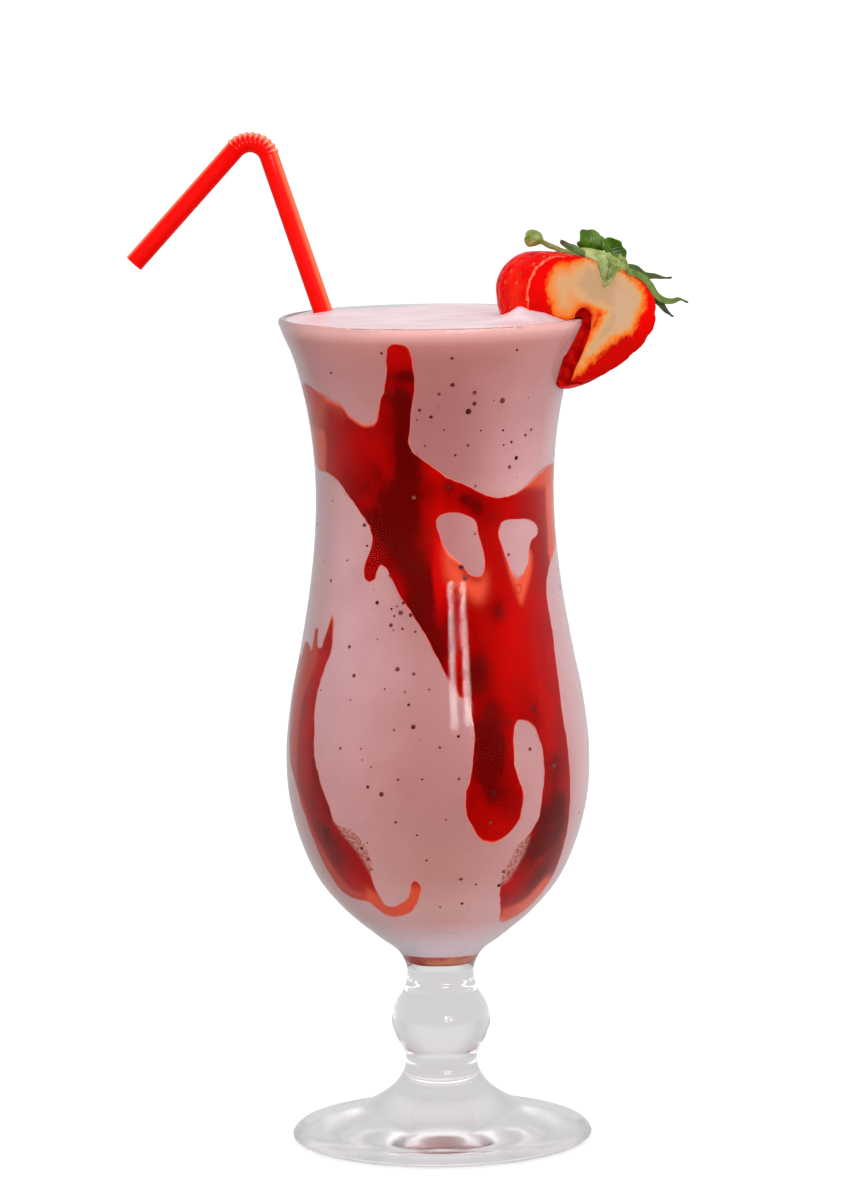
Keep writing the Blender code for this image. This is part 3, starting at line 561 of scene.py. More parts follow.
def on_wall(azimuth, height, inset=0.0, probe=2.0):
    """Points on the inner wall, or inset square to it. Azimuths are in radians."""
    slope = (inner_radius(height + probe) - inner_radius(height - probe)) / (2 * probe)
    step = inset / np.sqrt(1 + slope**2)
    radius = inner_radius(height) - step
    return np.stack([radius * np.sin(azimuth), -radius * np.cos(azimuth), height + step * slope], axis=-1)


def melt(depth, away, fillet=SAUCE_FILLET):
    """Joins two forms, with a fillet where they meet."""
    mix = np.clip(0.5 + 0.5 * (depth - away) / fillet, 0.0, 1.0)
    return depth * (1 - mix) + away * mix - fillet * mix * (1 - mix)


def run_depth(flat, knots):
    """How far places of the unrolled wall lie outside a run. It is negative inside it."""
    path = smooth_curve([(math.radians(a) * UNROLLED_RADIUS, z, w) for a, z, w in knots], RUN_STEP)
    points = on_wall(flat[:, 0] / UNROLLED_RADIUS, flat[:, 1])
    away = np.full(len(flat), np.inf)
    for spot, half_width in zip(on_wall(path[:, 0] / UNROLLED_RADIUS, path[:, 1]), path[:, 2]):
        away = np.minimum(away, np.linalg.norm(points - spot, axis=1) - half_width)
    return away


def outline_depth(flat, knots, step=0.7):
    """How far places of the unrolled wall lie outside a closed outline. It is negative inside it."""
    closed = [(math.radians(a) * UNROLLED_RADIUS, z) for a, z in knots + knots[:1]]
    line = smooth_curve(closed, step)
    away = np.full(len(flat), np.inf)
    inside = np.zeros(len(flat), bool)
    for start, end in zip(line, line[1:]):
        side = end - start
        along = np.clip((flat - start) @ side / max(side @ side, 1e-9), 0.0, 1.0)
        away = np.minimum(away, np.linalg.norm(flat - start - along[:, None] * side, axis=1))
        level = (start[1] > flat[:, 1]) != (end[1] > flat[:, 1])
        beside = start[0] + side[0] * (flat[:, 1] - start[1]) / (side[1] if side[1] else 1e-9)
        inside ^= level & (flat[:, 0] < beside)
    return np.where(inside, -away, away)


def ragged(flat):
    """A small unevenness, because sauce never runs along a clean line."""
    return np.array([noise.noise(Vector((x / 1.7, z / 2.2, 0.0))) * 0.30
                     + noise.noise(Vector((x / 6.0, z / 8.0, 5.0))) * 0.35 for x, z in flat])


def sauce_depth(flat, name):
    """How far places of the unrolled wall lie outside one piece of sauce."""
    forms = [run_depth(flat, knots) for knots in RUNS[name].values()]
    if name in OUTLINES:
        forms.append(outline_depth(flat, OUTLINES[name]))
    depth = forms[0]
    for away in forms[1:]:
        depth = melt(depth, away)
    depth = depth + ragged(flat)
    for hole in HOLES.get(name, []):
        depth = np.maximum(depth, -outline_depth(flat, hole))
    return depth


print("outline points:", sum(len(outline) for outline in OUTLINES.values()))

# %% [markdown]
# ## Thick, thin and frothy sauce
#
# Sauce isn't one colour. Where it lies thick it is nearly black red, where it is thinner it is bright, and
# where only a smear is left the pink drink shines through it in orange. Froth has gathered beside two of
# the drips. Soft patches and smears on the unrolled wall say where each of these is.

# %% Tones and smears
# Darker (+) and brighter (-) patches: azimuth, height, spread round the wall, spread in height, amount.
TONES = [(-14, 210, 5, 3.4, -0.25), (-14, 203.9, 7, 1.5, 0.85), (-14, 198, 5, 4, 0.4),
         (-14, 190, 3.8, 7, 0.8), (-14.5, 180, 4.6, 8, 0.95), (-15, 167, 6, 9, 0.9),
         (-11, 153, 5.6, 8, 0.95), (-4.5, 142, 4.6, 7, 1.0), (2.5, 132, 4, 6, 1.0),
         (-44, 184, 8, 5, -0.15), (-32, 170, 9, 8, 0.55), (-20, 160, 7, 8, 0.4),
         (1, 179, 4, 2.4, -0.35), (0, 172, 6, 4, 0.3), (6.6, 174.9, 1.5, 1.4, 0.6), (16, 171.2, 3, 1.8, 0.6),
         (-10.3, 172.3, 1.3, 1.3, 0.4), (21, 169, 2.4, 1.6, 0.5), (28, 168, 5, 3, 0.25),
         (1.6, 153, 2.0, 9, -1.1), (40, 136, 8, 14, -0.4), (18, 126, 3.4, 6, 0.9), (21.6, 112, 5, 7, 0.95),
         (20, 103, 4.6, 5, 0.85), (21, 93, 6, 5, 0.35), (21, 86, 6, 2.5, -0.1), (30, 143, 2.4, 3, 0.5),
         (51, 81, 7, 11, 1.0), (45, 70, 4, 3, -0.3), (52, 98, 3.6, 8, 0.35), (50, 117, 7, 6, 0.15),
         (-58, 128, 4, 6, -0.3), (-64, 112, 2.6, 12, -0.2), (-55, 103, 2.2, 10, 0.35),
         (-51, 86, 3.8, 9, 0.6), (-45, 72, 4.5, 3, -0.2)]
# Places where the sauce fades out over a wide edge: azimuth, height, spreads, and width in millimetres.
FADES = [(-52, 197.5, 8, 4, 1.8), (-36, 192, 5, 3, 1.4), (60, 177, 8, 4, 1.5), (8, 156, 3, 5, 1.2),
         (41, 150, 3, 4, 1.0), (50, 62, 8, 2.6, 1.0), (22, 84, 7, 2, 0.5), (-56, 139, 3, 4, 0.6),
         (-67, 134, 3, 3, 0.8), (-76, 108, 3, 18, 0.8)]
# Smears of thin sauce: an outline, the softness of its border in millimetres, and how thin it is.
SMEARS = [
    ([(-92, 202), (-67, 200.5), (-55, 199), (-49.6, 197), (-45, 195.2), (-46, 192.8), (-52, 193.6),
      (-57, 193.5), (-60, 190.5), (-66, 187), (-92, 185)], 5.0, 0.34),
    ([(-94, 188), (-80, 188.8), (-63.5, 187.5), (-63.5, 184), (-65.7, 180), (-67.3, 175.5), (-94, 172)],
     2.6, 0.6),
    ([(43.7, 173.0), (51.6, 175.4), (61, 178.5), (80.7, 181), (94, 180), (94, 171), (70, 172), (56, 173)],
     3.0, 0.46),
    ([(70.5, 173.3), (94, 172), (94, 150), (71.5, 151), (69.8, 155.2), (71, 161.6), (70.4, 166.8)],
     2.2, 0.55),
    ([(-94, 132.4), (-68.4, 135), (-62.1, 130), (-65.4, 123.4), (-68.5, 118), (-69, 107.6),
      (-68.5, 97.2), (-64.5, 90.8), (-61.4, 84.1), (-57, 78.6), (-53, 74), (-49, 71), (-40, 70),
      (-46, 65), (-74, 67), (-78, 83), (-93, 94)], 2.0, 0.30),
    ([(-38.5, 71.8), (-34.3, 71), (-29.4, 69.4), (-19.5, 69.8), (-15.4, 73), (-7, 72),
      (-7, 67), (-21, 62.6), (-36.9, 63.1), (-46, 66)], 3.0, 0.50),
    ([(4, 160.1), (7.7, 157.3), (12.5, 154.7), (16.2, 151.9), (21.1, 151), (24.5, 152.9), (25.3, 148.4),
      (21.2, 144.9), (15.5, 146.1), (11.8, 148.1), (6.1, 150.2), (3.6, 156)], 4.0, 0.46),
    ([(35.2, 157.7), (38.2, 151.2), (40.7, 147), (42.8, 143.6), (48, 147.5), (53.1, 153.3), (53.5, 156.5),
      (51, 157.6), (47.4, 155), (39.5, 155)], 2.4, 0.66),
    ([(39, 65.6), (46.2, 66.2), (54, 68.2), (60.4, 72.5), (70, 72.5), (94, 62.4), (66.6, 59.4),
      (44.2, 60.8)], 2.4, 0.46)]
# Pockets of froth beside the drips, in the same form.
FROTH = [([(-46.5, 89), (-37.4, 88.9), (-31.5, 86), (-29.5, 81.1), (-30.6, 77.2), (-33.2, 75.8),
           (-34.4, 78.4), (-36.6, 81.2), (-41, 84.4)], 1.2, 0.85),
         ([(40.2, 84.4), (34.7, 84.4), (30.5, 79.5), (28.7, 75.1), (29.6, 72.6), (33.8, 73), (36.6, 76.2),
           (39.2, 80.2)], 1.4, 0.85)]


def patches_at(flat, patches):
    total = np.zeros(len(flat))
    for azimuth, height, around, tall, amount in patches:
        across = (flat[:, 0] - math.radians(azimuth) * UNROLLED_RADIUS) / around
        total += amount * np.exp(-across**2 - ((flat[:, 1] - height) / tall)**2)
    return total


def smears_at(flat, smears):
    total = np.zeros(len(flat))
    for outline, softness, amount in smears:
        total = np.maximum(total, amount * np.clip(0.5 - outline_depth(flat, outline) / softness, 0.0, 1.0))
    return total


print("patches:", len(TONES) + len(FADES), "smears:", len(SMEARS) + len(FROTH))

# %% [markdown]
# ## A sheet of sauce
#
# A fine grid is laid over the unrolled wall. The faces outside the sauce are deleted, the ragged border
# that is left is slid onto the true outline, and the sheet is wrapped back round the wall and given its
# thickness. Each vertex carries its numbers along as attributes, where the finish can read them.

# %% Sauce sheets
GRID_STEP = 0.66
SAUCE_THICKNESS = 1.0
SOFT_EDGE = 0.3              # width of the edge over which all sauce fades
SAUCE_REACH = 0.22           # into the glass, so that it lies before the drink
SHEET_MARGIN = 3.0


def sauce_room(name):
    """The two opposite corners of the unrolled wall's part that the sauce needs."""
    runs = np.array([knot for path in RUNS[name].values() for knot in path] or [(0, 100, 0)], float)
    line = np.array([(a, z, 0) for a, z in OUTLINES.get(name, [])] or runs, float)
    knots = np.concatenate([runs, line]) if RUNS[name] else line
    knots[:, 0] = np.radians(knots[:, 0]) * UNROLLED_RADIUS
    lowest, highest = (knots[:, :2] - knots[:, 2:]).min(axis=0), (knots[:, :2] + knots[:, 2:]).max(axis=0)
    return lowest - SHEET_MARGIN, highest + SHEET_MARGIN


def lay_sauce(name):
    low, high = sauce_room(name)
    counts = [int(n) for n in (high - low) / GRID_STEP]
    deselect()
    bpy.ops.mesh.primitive_grid_add(x_subdivisions=counts[0], y_subdivisions=counts[1], size=MM)
    sheet = name_it(name + "_red")
    flat = low + (corners(sheet)[:, :2] + 0.5) * (high - low)
    depth = sauce_depth(flat, name)
    edit(sheet)
    bpy.ops.mesh.select_mode(type="FACE")
    bpy.ops.mesh.select_all(action="DESELECT")
    form = bmesh.from_edit_mesh(sheet.data)
    for face in form.faces:
        face.select = bool(sum(depth[corner.index] for corner in face.verts) > 0)
    bmesh.update_edit_mesh(sheet.data)
    bpy.ops.mesh.delete(type="FACE")
    bpy.ops.object.mode_set(mode="OBJECT")
    flat = low + (corners(sheet)[:, :2] + 0.5) * (high - low)
    border = border_of(sheet)
    for _ in range(2):
        flat[border] = slide_to_outline(flat[border], name)
    depth = sauce_depth(flat, name)
    depth[border] = 0.0
    move_corners(sheet, on_wall(flat[:, 0] / UNROLLED_RADIUS, flat[:, 1], -SAUCE_REACH))
    write_attribute(sheet, "inside", -depth)
    write_attribute(sheet, "tone", patches_at(flat, TONES))
    write_attribute(sheet, "fade", SOFT_EDGE + patches_at(flat, FADES))
    write_attribute(sheet, "thin", smears_at(flat, SMEARS))
    write_attribute(sheet, "froth", smears_at(flat, FROTH))
    thicken(sheet, SAUCE_THICKNESS, -1.0)
    shade_round(sheet, 50)
    return sheet


def border_of(sheet):
    form = bmesh.new()
    form.from_mesh(sheet.data)
    border = [corner.index for corner in form.verts if corner.is_boundary]
    form.free()
    return border


def slide_to_outline(flat, name, probe=0.1):
    """Moves places square to the outline, onto it, but never by more than one step of the grid."""
    slope = np.stack([sauce_depth(flat + probe * axis, name) - sauce_depth(flat - probe * axis, name)
                      for axis in np.eye(2)], axis=-1) / (2 * probe)
    steep = np.maximum((slope**2).sum(axis=1), 0.25)
    move = np.clip(sauce_depth(flat, name) / steep, -GRID_STEP, GRID_STEP)
    return flat - slope * move[:, None]


sauces = {}
for name in RUNS:
    sauces[name] = lay_sauce(name)
    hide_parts(name)
    print(name, len(sauces[name].data.polygons), "faces")

# %% Sauce finish
SAUCE_BRIGHT = (0.54, 0.0, 0.0)
SAUCE_DARK = (0.11, 0.0, 0.0)
SAUCE_ORANGE = (0.86, 0.10, 0.04)

sauce_red = Finish("sauce_red", SAUCE_BRIGHT, 0.3, **{"Specular IOR Level": 0.0})
cloud = sauce_red.noise(120.0, 3.0) - 0.5
streak = sauce_red.noise(260.0, 2.0, stretch=(1.0, 1.0, 0.12)) - 0.5
grit = sauce_red.noise(1100.0, 2.0) - 0.5
patches = sauce_red.attribute("tone") * (cloud * 1.6 + streak * 0.8 + 0.95)
tone = (patches + cloud * 0.9 + streak * 0.3 + grit * 0.12 + 0.38).clamp()
body = sauce_red.mix(tone, SAUCE_BRIGHT, SAUCE_DARK)
wobble = sauce_red.noise(700.0, 2.0) - 0.5
fade = (sauce_red.attribute("fade") + cloud * 1.4).most(0.2)
inside = (sauce_red.attribute("inside") / fade) * (wobble * 0.6 + 1.0)
thin = sauce_red.attribute("thin")
cover = inside.clamp() * (1.0 - (thin + cloud * 0.5 * thin))
smear = sauce_red.mix(cover.between(0.0, 0.4), SHAKE_PINK, SAUCE_ORANGE)
sauce = sauce_red.mix(cover.between(0.3, 1.0), smear, body)
grains = sauce_red.noise(1500.0, 2.0)
froth = sauce_red.mix(grains.between(0.38, 0.6), (0.42, 0.12, 0.10), (0.64, 0.30, 0.28))
sauce_red.color(sauce_red.mix(sauce_red.attribute("froth"), sauce, froth))
for sheet in sauces.values():
    wear(sheet, sauce_red)
print("sauce finished")

# %% [markdown]
# ## The pool at the bottom
#
# Some sauce sank to the bottom of the bowl, where the thick glass of the stem magnifies it into a dark
# band. It fills the narrow well there like a shallow dish.

# %% Pool of sauce
POOL_LEVEL = 50.2
well = reach_out(smooth_curve(BOWL_INSIDE[:4], 0.35), SAUCE_REACH)
well = well[well[:, 1] < POOL_LEVEL]
surface = [(float(well[-1][0]) * k / 4, float(well[-1][1])) for k in range(4)]
pool = turn("sauce_pool", surface + [tuple(p) for p in well[::-1]], sides=96)
shade_round(pool)
pool_red = Finish("pool_red", (0.30, 0.02, 0.015), 0.3, **{"Specular IOR Level": 0.0})
pool_red.color(pool_red.mix(pool_red.noise(160.0, 2.0).between(0.35, 0.65), (0.74, 0.28, 0.17),
                            (0.55, 0.07, 0.055)))
wear(pool, pool_red)
print("pool:", len(pool.data.polygons), "faces")

# %% [markdown]
# ## Specks in the drink
#
# Blended strawberries leave their tiny seeds in the drink, and those that touch the wall show as dark
# specks. The clear ones are listed one by one, and finer ones are strewn between them by a seeded draw.
# Each is a small flattened ball: the shape is made once and copied with its own mesh.

# %% Specks
# Each speck: azimuth, height and radius.
SPECKS = [(12.4, 154.2, 0.55), (14.2, 151.6, 0.6), (42.1, 117.1, 0.6), (50.8, 101.9, 0.65),
          (30.6, 114.7, 0.35), (21.7, 96.9, 0.5), (20.7, 89.3, 0.45), (38, 156.6, 0.35),
          (30.5, 75.9, 0.4), (30, 72.2, 0.4), (6.6, 174.9, 0.5), (-10.3, 172.3, 0.45),
          (33.4, 75.4, 0.25), (-34.2, 82.4, 0.4), (-32.2, 79.6, 0.3), (-31.6, 76.8, 0.25),
          (-30.8, 84, 0.2), (8.2, 201.5, 0.44), (2.4, 199.2, 0.34), (18.3, 199.3, 0.41),
          (18.6, 196.4, 0.44), (16, 194.4, 0.59), (32.5, 196.8, 0.59), (-1.3, 193.2, 0.34),
          (43.7, 181.4, 0.44),
          (39.6, 179.2, 0.39), (48.8, 187.1, 0.34), (52.6, 188.4, 0.31), (35.2, 210.1, 0.31),
          (7.6, 208.6, 0.34), (-20.8, 210, 0.31), (-48.7, 204.1, 0.31), (-6.4, 195, 0.36),
          (34.4, 189, 0.26), (39.9, 185.7, 0.31), (16.3, 185.6, 0.28), (10.2, 183.1, 0.26),
          (22.5, 189.3, 0.21), (4.8, 189.8, 0.21), (-4.4, 185.7, 0.23), (-7.9, 192.4, 0.23),
          (20.4, 174.9, 0.28), (-8.2, 183.6, 0.18), (28, 197, 0.18), (47.3, 197, 0.18),
          (35.3, 185.1, 0.21), (19.8, 162.6, 0.23), (-28.4, 145.1, 0.41), (-15.4, 145.3, 0.34),
          (-16.5, 142.8, 0.47), (-11.7, 142.3, 0.41), (-21, 143.7, 0.23), (-18.4, 144.4, 0.21),
          (-19.5, 141.9, 0.23), (-20.9, 139.6, 0.39), (-15.4, 138.8, 0.28), (-9.5, 138.1, 0.28),
          (-19.7, 138.4, 0.18), (-41.6, 133.4, 0.36), (-37.4, 126.3, 0.41), (-9.8, 127.5, 0.36),
          (-13.3, 122.9, 0.23), (-11.6, 119.8, 0.31), (-3.3, 123.6, 0.23), (-17, 128.6, 0.47),
          (-9.6, 114.3, 0.47), (-17.4, 113.4, 0.23), (-22.4, 97, 0.49), (-28.1, 98.6, 0.36),
          (-41, 107.8, 0.31), (-31.2, 108.2, 0.21), (0.8, 109.1, 0.28), (8.1, 111.8, 0.31),
          (-30.4, 105.4, 0.18), (8, 101.1, 0.31), (-26.6, 103.8, 0.21), (-6.1, 101.1, 0.21),
          (-59.2, 149.4, 0.36), (-37.3, 164.7, 0.41), (-35.4, 159.4, 0.26), (10, 74.6, 0.39),
          (12, 67.9, 0.34), (17.6, 73, 0.26), (38.3, 107.2, 0.39), (-22.6, 152.1, 0.23),
          (-30.8, 148.3, 0.16), (-15.5, 100.9, 0.23), (-37.8, 120.2, 0.18), (-55.7, 121.5, 0.18),
          (-45.3, 77.9, 0.21), (-5.4, 79.9, 0.26), (0.3, 67.1, 0.23), (-8.8, 86.6, 0.23),
          (-17.1, 89.9, 0.28), (2.9, 90.7, 0.21), (-27, 135.9, 0.18), (-22.1, 123.5, 0.21),
          (-60.7, 170, 0.21), (-47.7, 155.2, 0.21), (-68.3, 154, 0.18)]
SPECK_REACH = 0.3
CLEAR_SPECK, SPECK_SWELL = 0.16, 1.3     # specks above this radius show this much larger
# Strewn specks: how many, between which azimuths and heights, and their radii.
STREWN = [(170, (-180, 180), (64, 209), [0.1, 0.12, 0.15]), (80, (75, 285), (70, 209), [0.2, 0.3, 0.4]),
          (170, (-75, 75), (66, 205), [0.08, 0.1, 0.13])]


def ball(name, radius, tall, long=1.0):
    """A small ball at the origin, pulled in edit mode to its own proportions."""
    deselect()
    bpy.ops.mesh.primitive_uv_sphere_add(segments=12, ring_count=8, radius=radius * MM)
    piece = name_it(name)
    edit(piece)
    bpy.ops.mesh.select_all(action="SELECT")
    bpy.ops.transform.resize(value=(long, 1.0, tall))
    bpy.ops.object.mode_set(mode="OBJECT")
    return piece


def strew(name, pattern, places):
    """Copies of a small piece, one for each matrix, joined into one mesh. The pattern is removed."""
    form = bmesh.new()
    for place in places:
        old = len(form.verts)
        form.from_mesh(pattern.data)
        form.verts.ensure_lookup_table()
        bmesh.ops.transform(form, matrix=place, verts=form.verts[old:])
    mesh = bpy.data.meshes.new(name)
    form.to_mesh(mesh)
    form.free()
    bpy.data.objects.remove(pattern)
    piece = bpy.data.objects.new(name, mesh)
    bpy.context.scene.collection.objects.link(piece)
    shade_round(piece)
    return piece


def facing(spot, outwards, size=1.0, turned=0.0):
    """A matrix that puts a piece at a spot with its Z axis along a direction."""
    turn_to = Vector(outwards).normalized().to_track_quat("Z", "Y").to_matrix().to_4x4()
    return (Matrix.Translation(Vector(spot) * MM) @ turn_to @ Matrix.Rotation(turned, 4, "Z")
            @ Matrix.Scale(size, 4))


def wall_spot(azimuth, height, inset):
    around = np.radians([azimuth])
    spot = on_wall(around, np.array([height]), inset)[0]
    deeper = on_wall(around, np.array([height]), inset + 1.0)[0]
    return spot, spot - deeper


draw = random.Random(5)
specks = list(SPECKS)
for count, azimuths, heights, radii in STREWN:
    specks += [(draw.uniform(*azimuths), draw.uniform(*heights), draw.choice(radii)) for _ in range(count)]
places = []
for azimuth, height, radius in specks:
    radius *= SPECK_SWELL if radius > CLEAR_SPECK else 1.0
    spot, outwards = wall_spot(azimuth, height, -SPECK_REACH + 0.25 * radius)
    places.append(facing(spot, outwards, radius, draw.uniform(0, 3)))
speck_piece = strew("milkshake_specks", ball("speck", 1.0, 0.35), places)
speck_brown = Finish("speck_brown", (0.2, 0.05, 0.05), 0.6, **{"Specular IOR Level": 0.0})
speck_brown.color(speck_brown.mix(speck_brown.noise(300.0, 1.0).between(0.35, 0.65), (0.07, 0.008, 0.008),
                                  (0.22, 0.05, 0.045)))
wear(speck_piece, speck_brown)
print("specks:", len(specks))

# %% [markdown]
# ## Bubbles in the sauce
#
# A bubble that is caught between sauce and glass shows as a fine dark ring, where its skin is pressed
# against the wall. So each one is a thin torus that lies flat on the wall.

# %% Bubbles
BUBBLES = [(42.2, 147.7, 1.0), (-19.3, 199.6, 0.8), (-15.6, 196.4, 0.5), (21.5, 96.9, 0.6)]
BUBBLE_RADIUS, BUBBLE_SKIN, BUBBLE_REACH = 1.1, 0.14, 0.12

deselect()
bpy.ops.mesh.primitive_torus_add(major_radius=BUBBLE_RADIUS * MM, minor_radius=BUBBLE_SKIN * MM,
                                 major_segments=32, minor_segments=8)
bubble_places = []
for azimuth, height, size in BUBBLES:
    spot, outwards = wall_spot(azimuth, height, -BUBBLE_REACH)
    bubble_places.append(facing(spot, outwards, size))
bubbles = strew("sauce_bubbles", name_it("bubble"), bubble_places)
bubble_red = Finish("bubble_red", (0.16, 0.01, 0.01), 0.4, **{"Specular IOR Level": 0.1})
bubble_red.color(bubble_red.mix(bubble_red.noise(400.0, 1.0).between(0.4, 0.6), (0.12, 0.0, 0.0),
                                (0.30, 0.03, 0.02)))
wear(bubbles, bubble_red)
print("bubbles:", len(BUBBLES))

# %% [markdown]
# ## The straw
#
# The straw is a thin tube that runs down into the drink, and bends in a short row of pleats. A curve is
# the natural way to sweep a tube along a path. The curve becomes a mesh, and its rings are then pushed
# out into pleats on the outer side of the bend only, because the inner side is squeezed flat. Solidify
# gives the tube its wall. Two attributes carry the straw's outer side and the crests of the pleats over
# to the finish, which paints both paler: a painted highlight, where the light from above falls on the
# outer side and on the crests.

# %% Straw
STRAW_RADIUS, STRAW_WALL = 2.55, 0.4
STRAW_AT_RIM = Vector((-27.3, 18.4, 212.0))
STRAW_LEAN = Vector((-0.342, 0.23, 1.0))
STRAW_FOOT_HEIGHT, STRAW_BEND_HEIGHT = 75.0, 256.0
SHORT_ARM, SHORT_ARM_LENGTH = Vector((-0.674, 0.0, -0.738)), 39.98
BEND_RADIUS, RIBS, RIB_DEPTH, RIB_STEPS = 5.5, 10, 0.42, 8


def straw_path():
    """Points along the straw's middle, each with its pleat's swell and the outer side of the bend."""
    along, away = STRAW_LEAN.normalized(), SHORT_ARM.normalized()
    foot = STRAW_AT_RIM + STRAW_LEAN * (STRAW_FOOT_HEIGHT - STRAW_AT_RIM.z)
    bend_start = STRAW_AT_RIM + STRAW_LEAN * (STRAW_BEND_HEIGHT - STRAW_AT_RIM.z)
    turning = along.angle(away)
    side = (away - along * away.dot(along)).normalized()
    centre = bend_start + side * BEND_RADIUS
    path = [(foot.lerp(bend_start, k / 24), 0.0, -side) for k in range(24)]
    steps = RIBS * RIB_STEPS
    for k in range(steps + 1):
        angle = turning * k / steps
        outer = along * math.sin(angle) - side * math.cos(angle)
        path.append((centre + outer * BEND_RADIUS, 0.5 - 0.5 * math.cos(2 * math.pi * k / RIB_STEPS), outer))
    end = path[-1][0]
    return path + [(end + away * SHORT_ARM_LENGTH * k / 8, 0.0, outer) for k in range(1, 9)]


deselect()
bpy.ops.curve.primitive_nurbs_path_add()
straw = name_it("straw_red")
line = straw.data
line.splines.clear()
spline = line.splines.new("POLY")
path = straw_path()
spline.points.add(len(path) - 1)
for point, (place, _, _) in zip(spline.points, path):
    point.co = (*(place * MM), 1.0)
    point.radius = STRAW_RADIUS
line.dimensions = "3D"
line.bevel_depth = MM
line.bevel_resolution = 7
bpy.ops.object.convert(target="MESH")
straw = bpy.context.object
straw.name = straw.data.name = "straw_red"
straw.data.materials.clear()
middles = np.array([tuple(place) for place, _, _ in path])
rings = corners(straw).reshape(len(path), -1, 3)
outwards = (rings - middles[:, None]) / STRAW_RADIUS
outer = np.einsum("ijk,ik->ij", outwards, np.array([tuple(side) for _, _, side in path]))
swell = np.array([swell for _, swell, _ in path])[:, None] * np.clip(0.5 + 0.6 * outer, 0.0, 1.0)
move_corners(straw, (rings + outwards * RIB_DEPTH * swell[:, :, None]).reshape(-1, 3))
write_attribute(straw, "outer", outer.ravel())
write_attribute(straw, "crest", swell.ravel())
thicken(straw, STRAW_WALL, -1.0)
shade_round(straw, 60)
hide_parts("straw")

straw_red = Finish("straw_red", (0.93, 0.004, 0.003), 0.25, **{"Specular IOR Level": 0.04})
shade = straw_red.noise(70.0, 2.0, stretch=(1.0, 1.0, 0.2))
red = straw_red.mix(shade.between(0.3, 0.7), (0.93, 0.001, 0.0), (0.98, 0.004, 0.002))
# painted highlight: the outer side, and below it the crests of the pleats, are painted paler for the light
# from above
red = straw_red.mix(straw_red.attribute("outer").between(0.45, 0.92), red, (1.0, 0.19, 0.09))
crest = straw_red.attribute("crest").between(0.45, 0.95) * straw_red.attribute("outer").between(-0.1, 0.6)
straw_red.color(straw_red.mix(crest, red, (1.0, 0.42, 0.32)))
wear(straw, straw_red)
print("straw:", len(straw.data.polygons), "faces")

# %% [markdown]
# ## The strawberry: its place on the rim
#
# The berry was cut in half from top to tip, slit from the tip side, and pushed onto the rim. It is
# turned on the lathe about its own axis, then flattened, leant and cut by a plane. All of that is
# easiest in the berry's own frame, where the tip points down and the cut faces forwards. One matrix
# then takes it to the rim.

# %% The berry's frame
BERRY_TOP = Vector((45.1, -9.3, 229.1))
BERRY_TURN, BERRY_TILT = math.radians(28), math.radians(18)
BERRY_SHIFT, CUT_DEPTH, BERRY_FLATTEN, BERRY_SWAY = 1.5, 6.0, 0.88, 0.18
BERRY_PROFILE = [(0.0, -1.2), (6.0, -0.6), (11.5, 0.4), (16.8, 2.6), (19.8, 6.6), (20.6, 11.0), (19.4, 15.5),
                 (16.8, 20.0), (13.4, 24.4), (9.8, 28.2), (6.0, 31.4), (2.6, 33.2), (0.0, 33.6)]
FACE_RIGHT = Vector((math.cos(BERRY_TURN), math.sin(BERRY_TURN), 0.0))
FACE_BACK = Vector((-math.sin(BERRY_TURN), math.cos(BERRY_TURN), 0.0))
FACE_UP = Vector((0.0, 0.0, 1.0))


def from_face(right_by, up_by, back_by):
    return BERRY_TOP + FACE_RIGHT * right_by + FACE_UP * up_by + FACE_BACK * back_by


def berry_place():
    across = FACE_RIGHT * math.cos(BERRY_TILT) - FACE_UP * math.sin(BERRY_TILT)
    along = FACE_RIGHT * math.sin(BERRY_TILT) + FACE_UP * math.cos(BERRY_TILT)
    middle = BERRY_TOP + FACE_BACK * CUT_DEPTH - across * BERRY_SHIFT
    return Matrix.Translation(middle * MM) @ Matrix((across, FACE_BACK, along)).transposed().to_4x4()


def lean(places):
    """Flattens the turned berry and leans its back inwards. Places are in millimetres."""
    leant = np.array(places, float)
    leant[:, 1] *= BERRY_FLATTEN
    leant[:, 0] -= BERRY_SWAY * (leant[:, 1] + CUT_DEPTH)
    return leant


print("berry's top at", [round(c, 1) for c in BERRY_TOP])

# %% [markdown]
# ## The strawberry: skin, dimples and seeds
#
# A strawberry's seeds sit in dimples, in rows that are shifted against each other. The places of the
# seeds come first. Each one then pushes the skin in around itself, and the same places later carry the
# seeds, so the two always agree.

# %% Berry skin
SEED_SPACING = 3.9
DIMPLE_DEPTH, DIMPLE_RADIUS = 0.38, 1.05
skin = smooth_curve(BERRY_PROFILE, 0.5)


def skin_spot(s, angle):
    """A place on the uncut berry's skin: s is the length along the profile from the top."""
    lengths = np.concatenate([[0.0], np.cumsum(np.linalg.norm(np.diff(skin, axis=0), axis=1))])
    radius, depth = np.interp(s, lengths, skin[:, 0]), np.interp(s, lengths, skin[:, 1])
    return lean([(radius * math.cos(angle), radius * math.sin(angle), -depth)])[0]


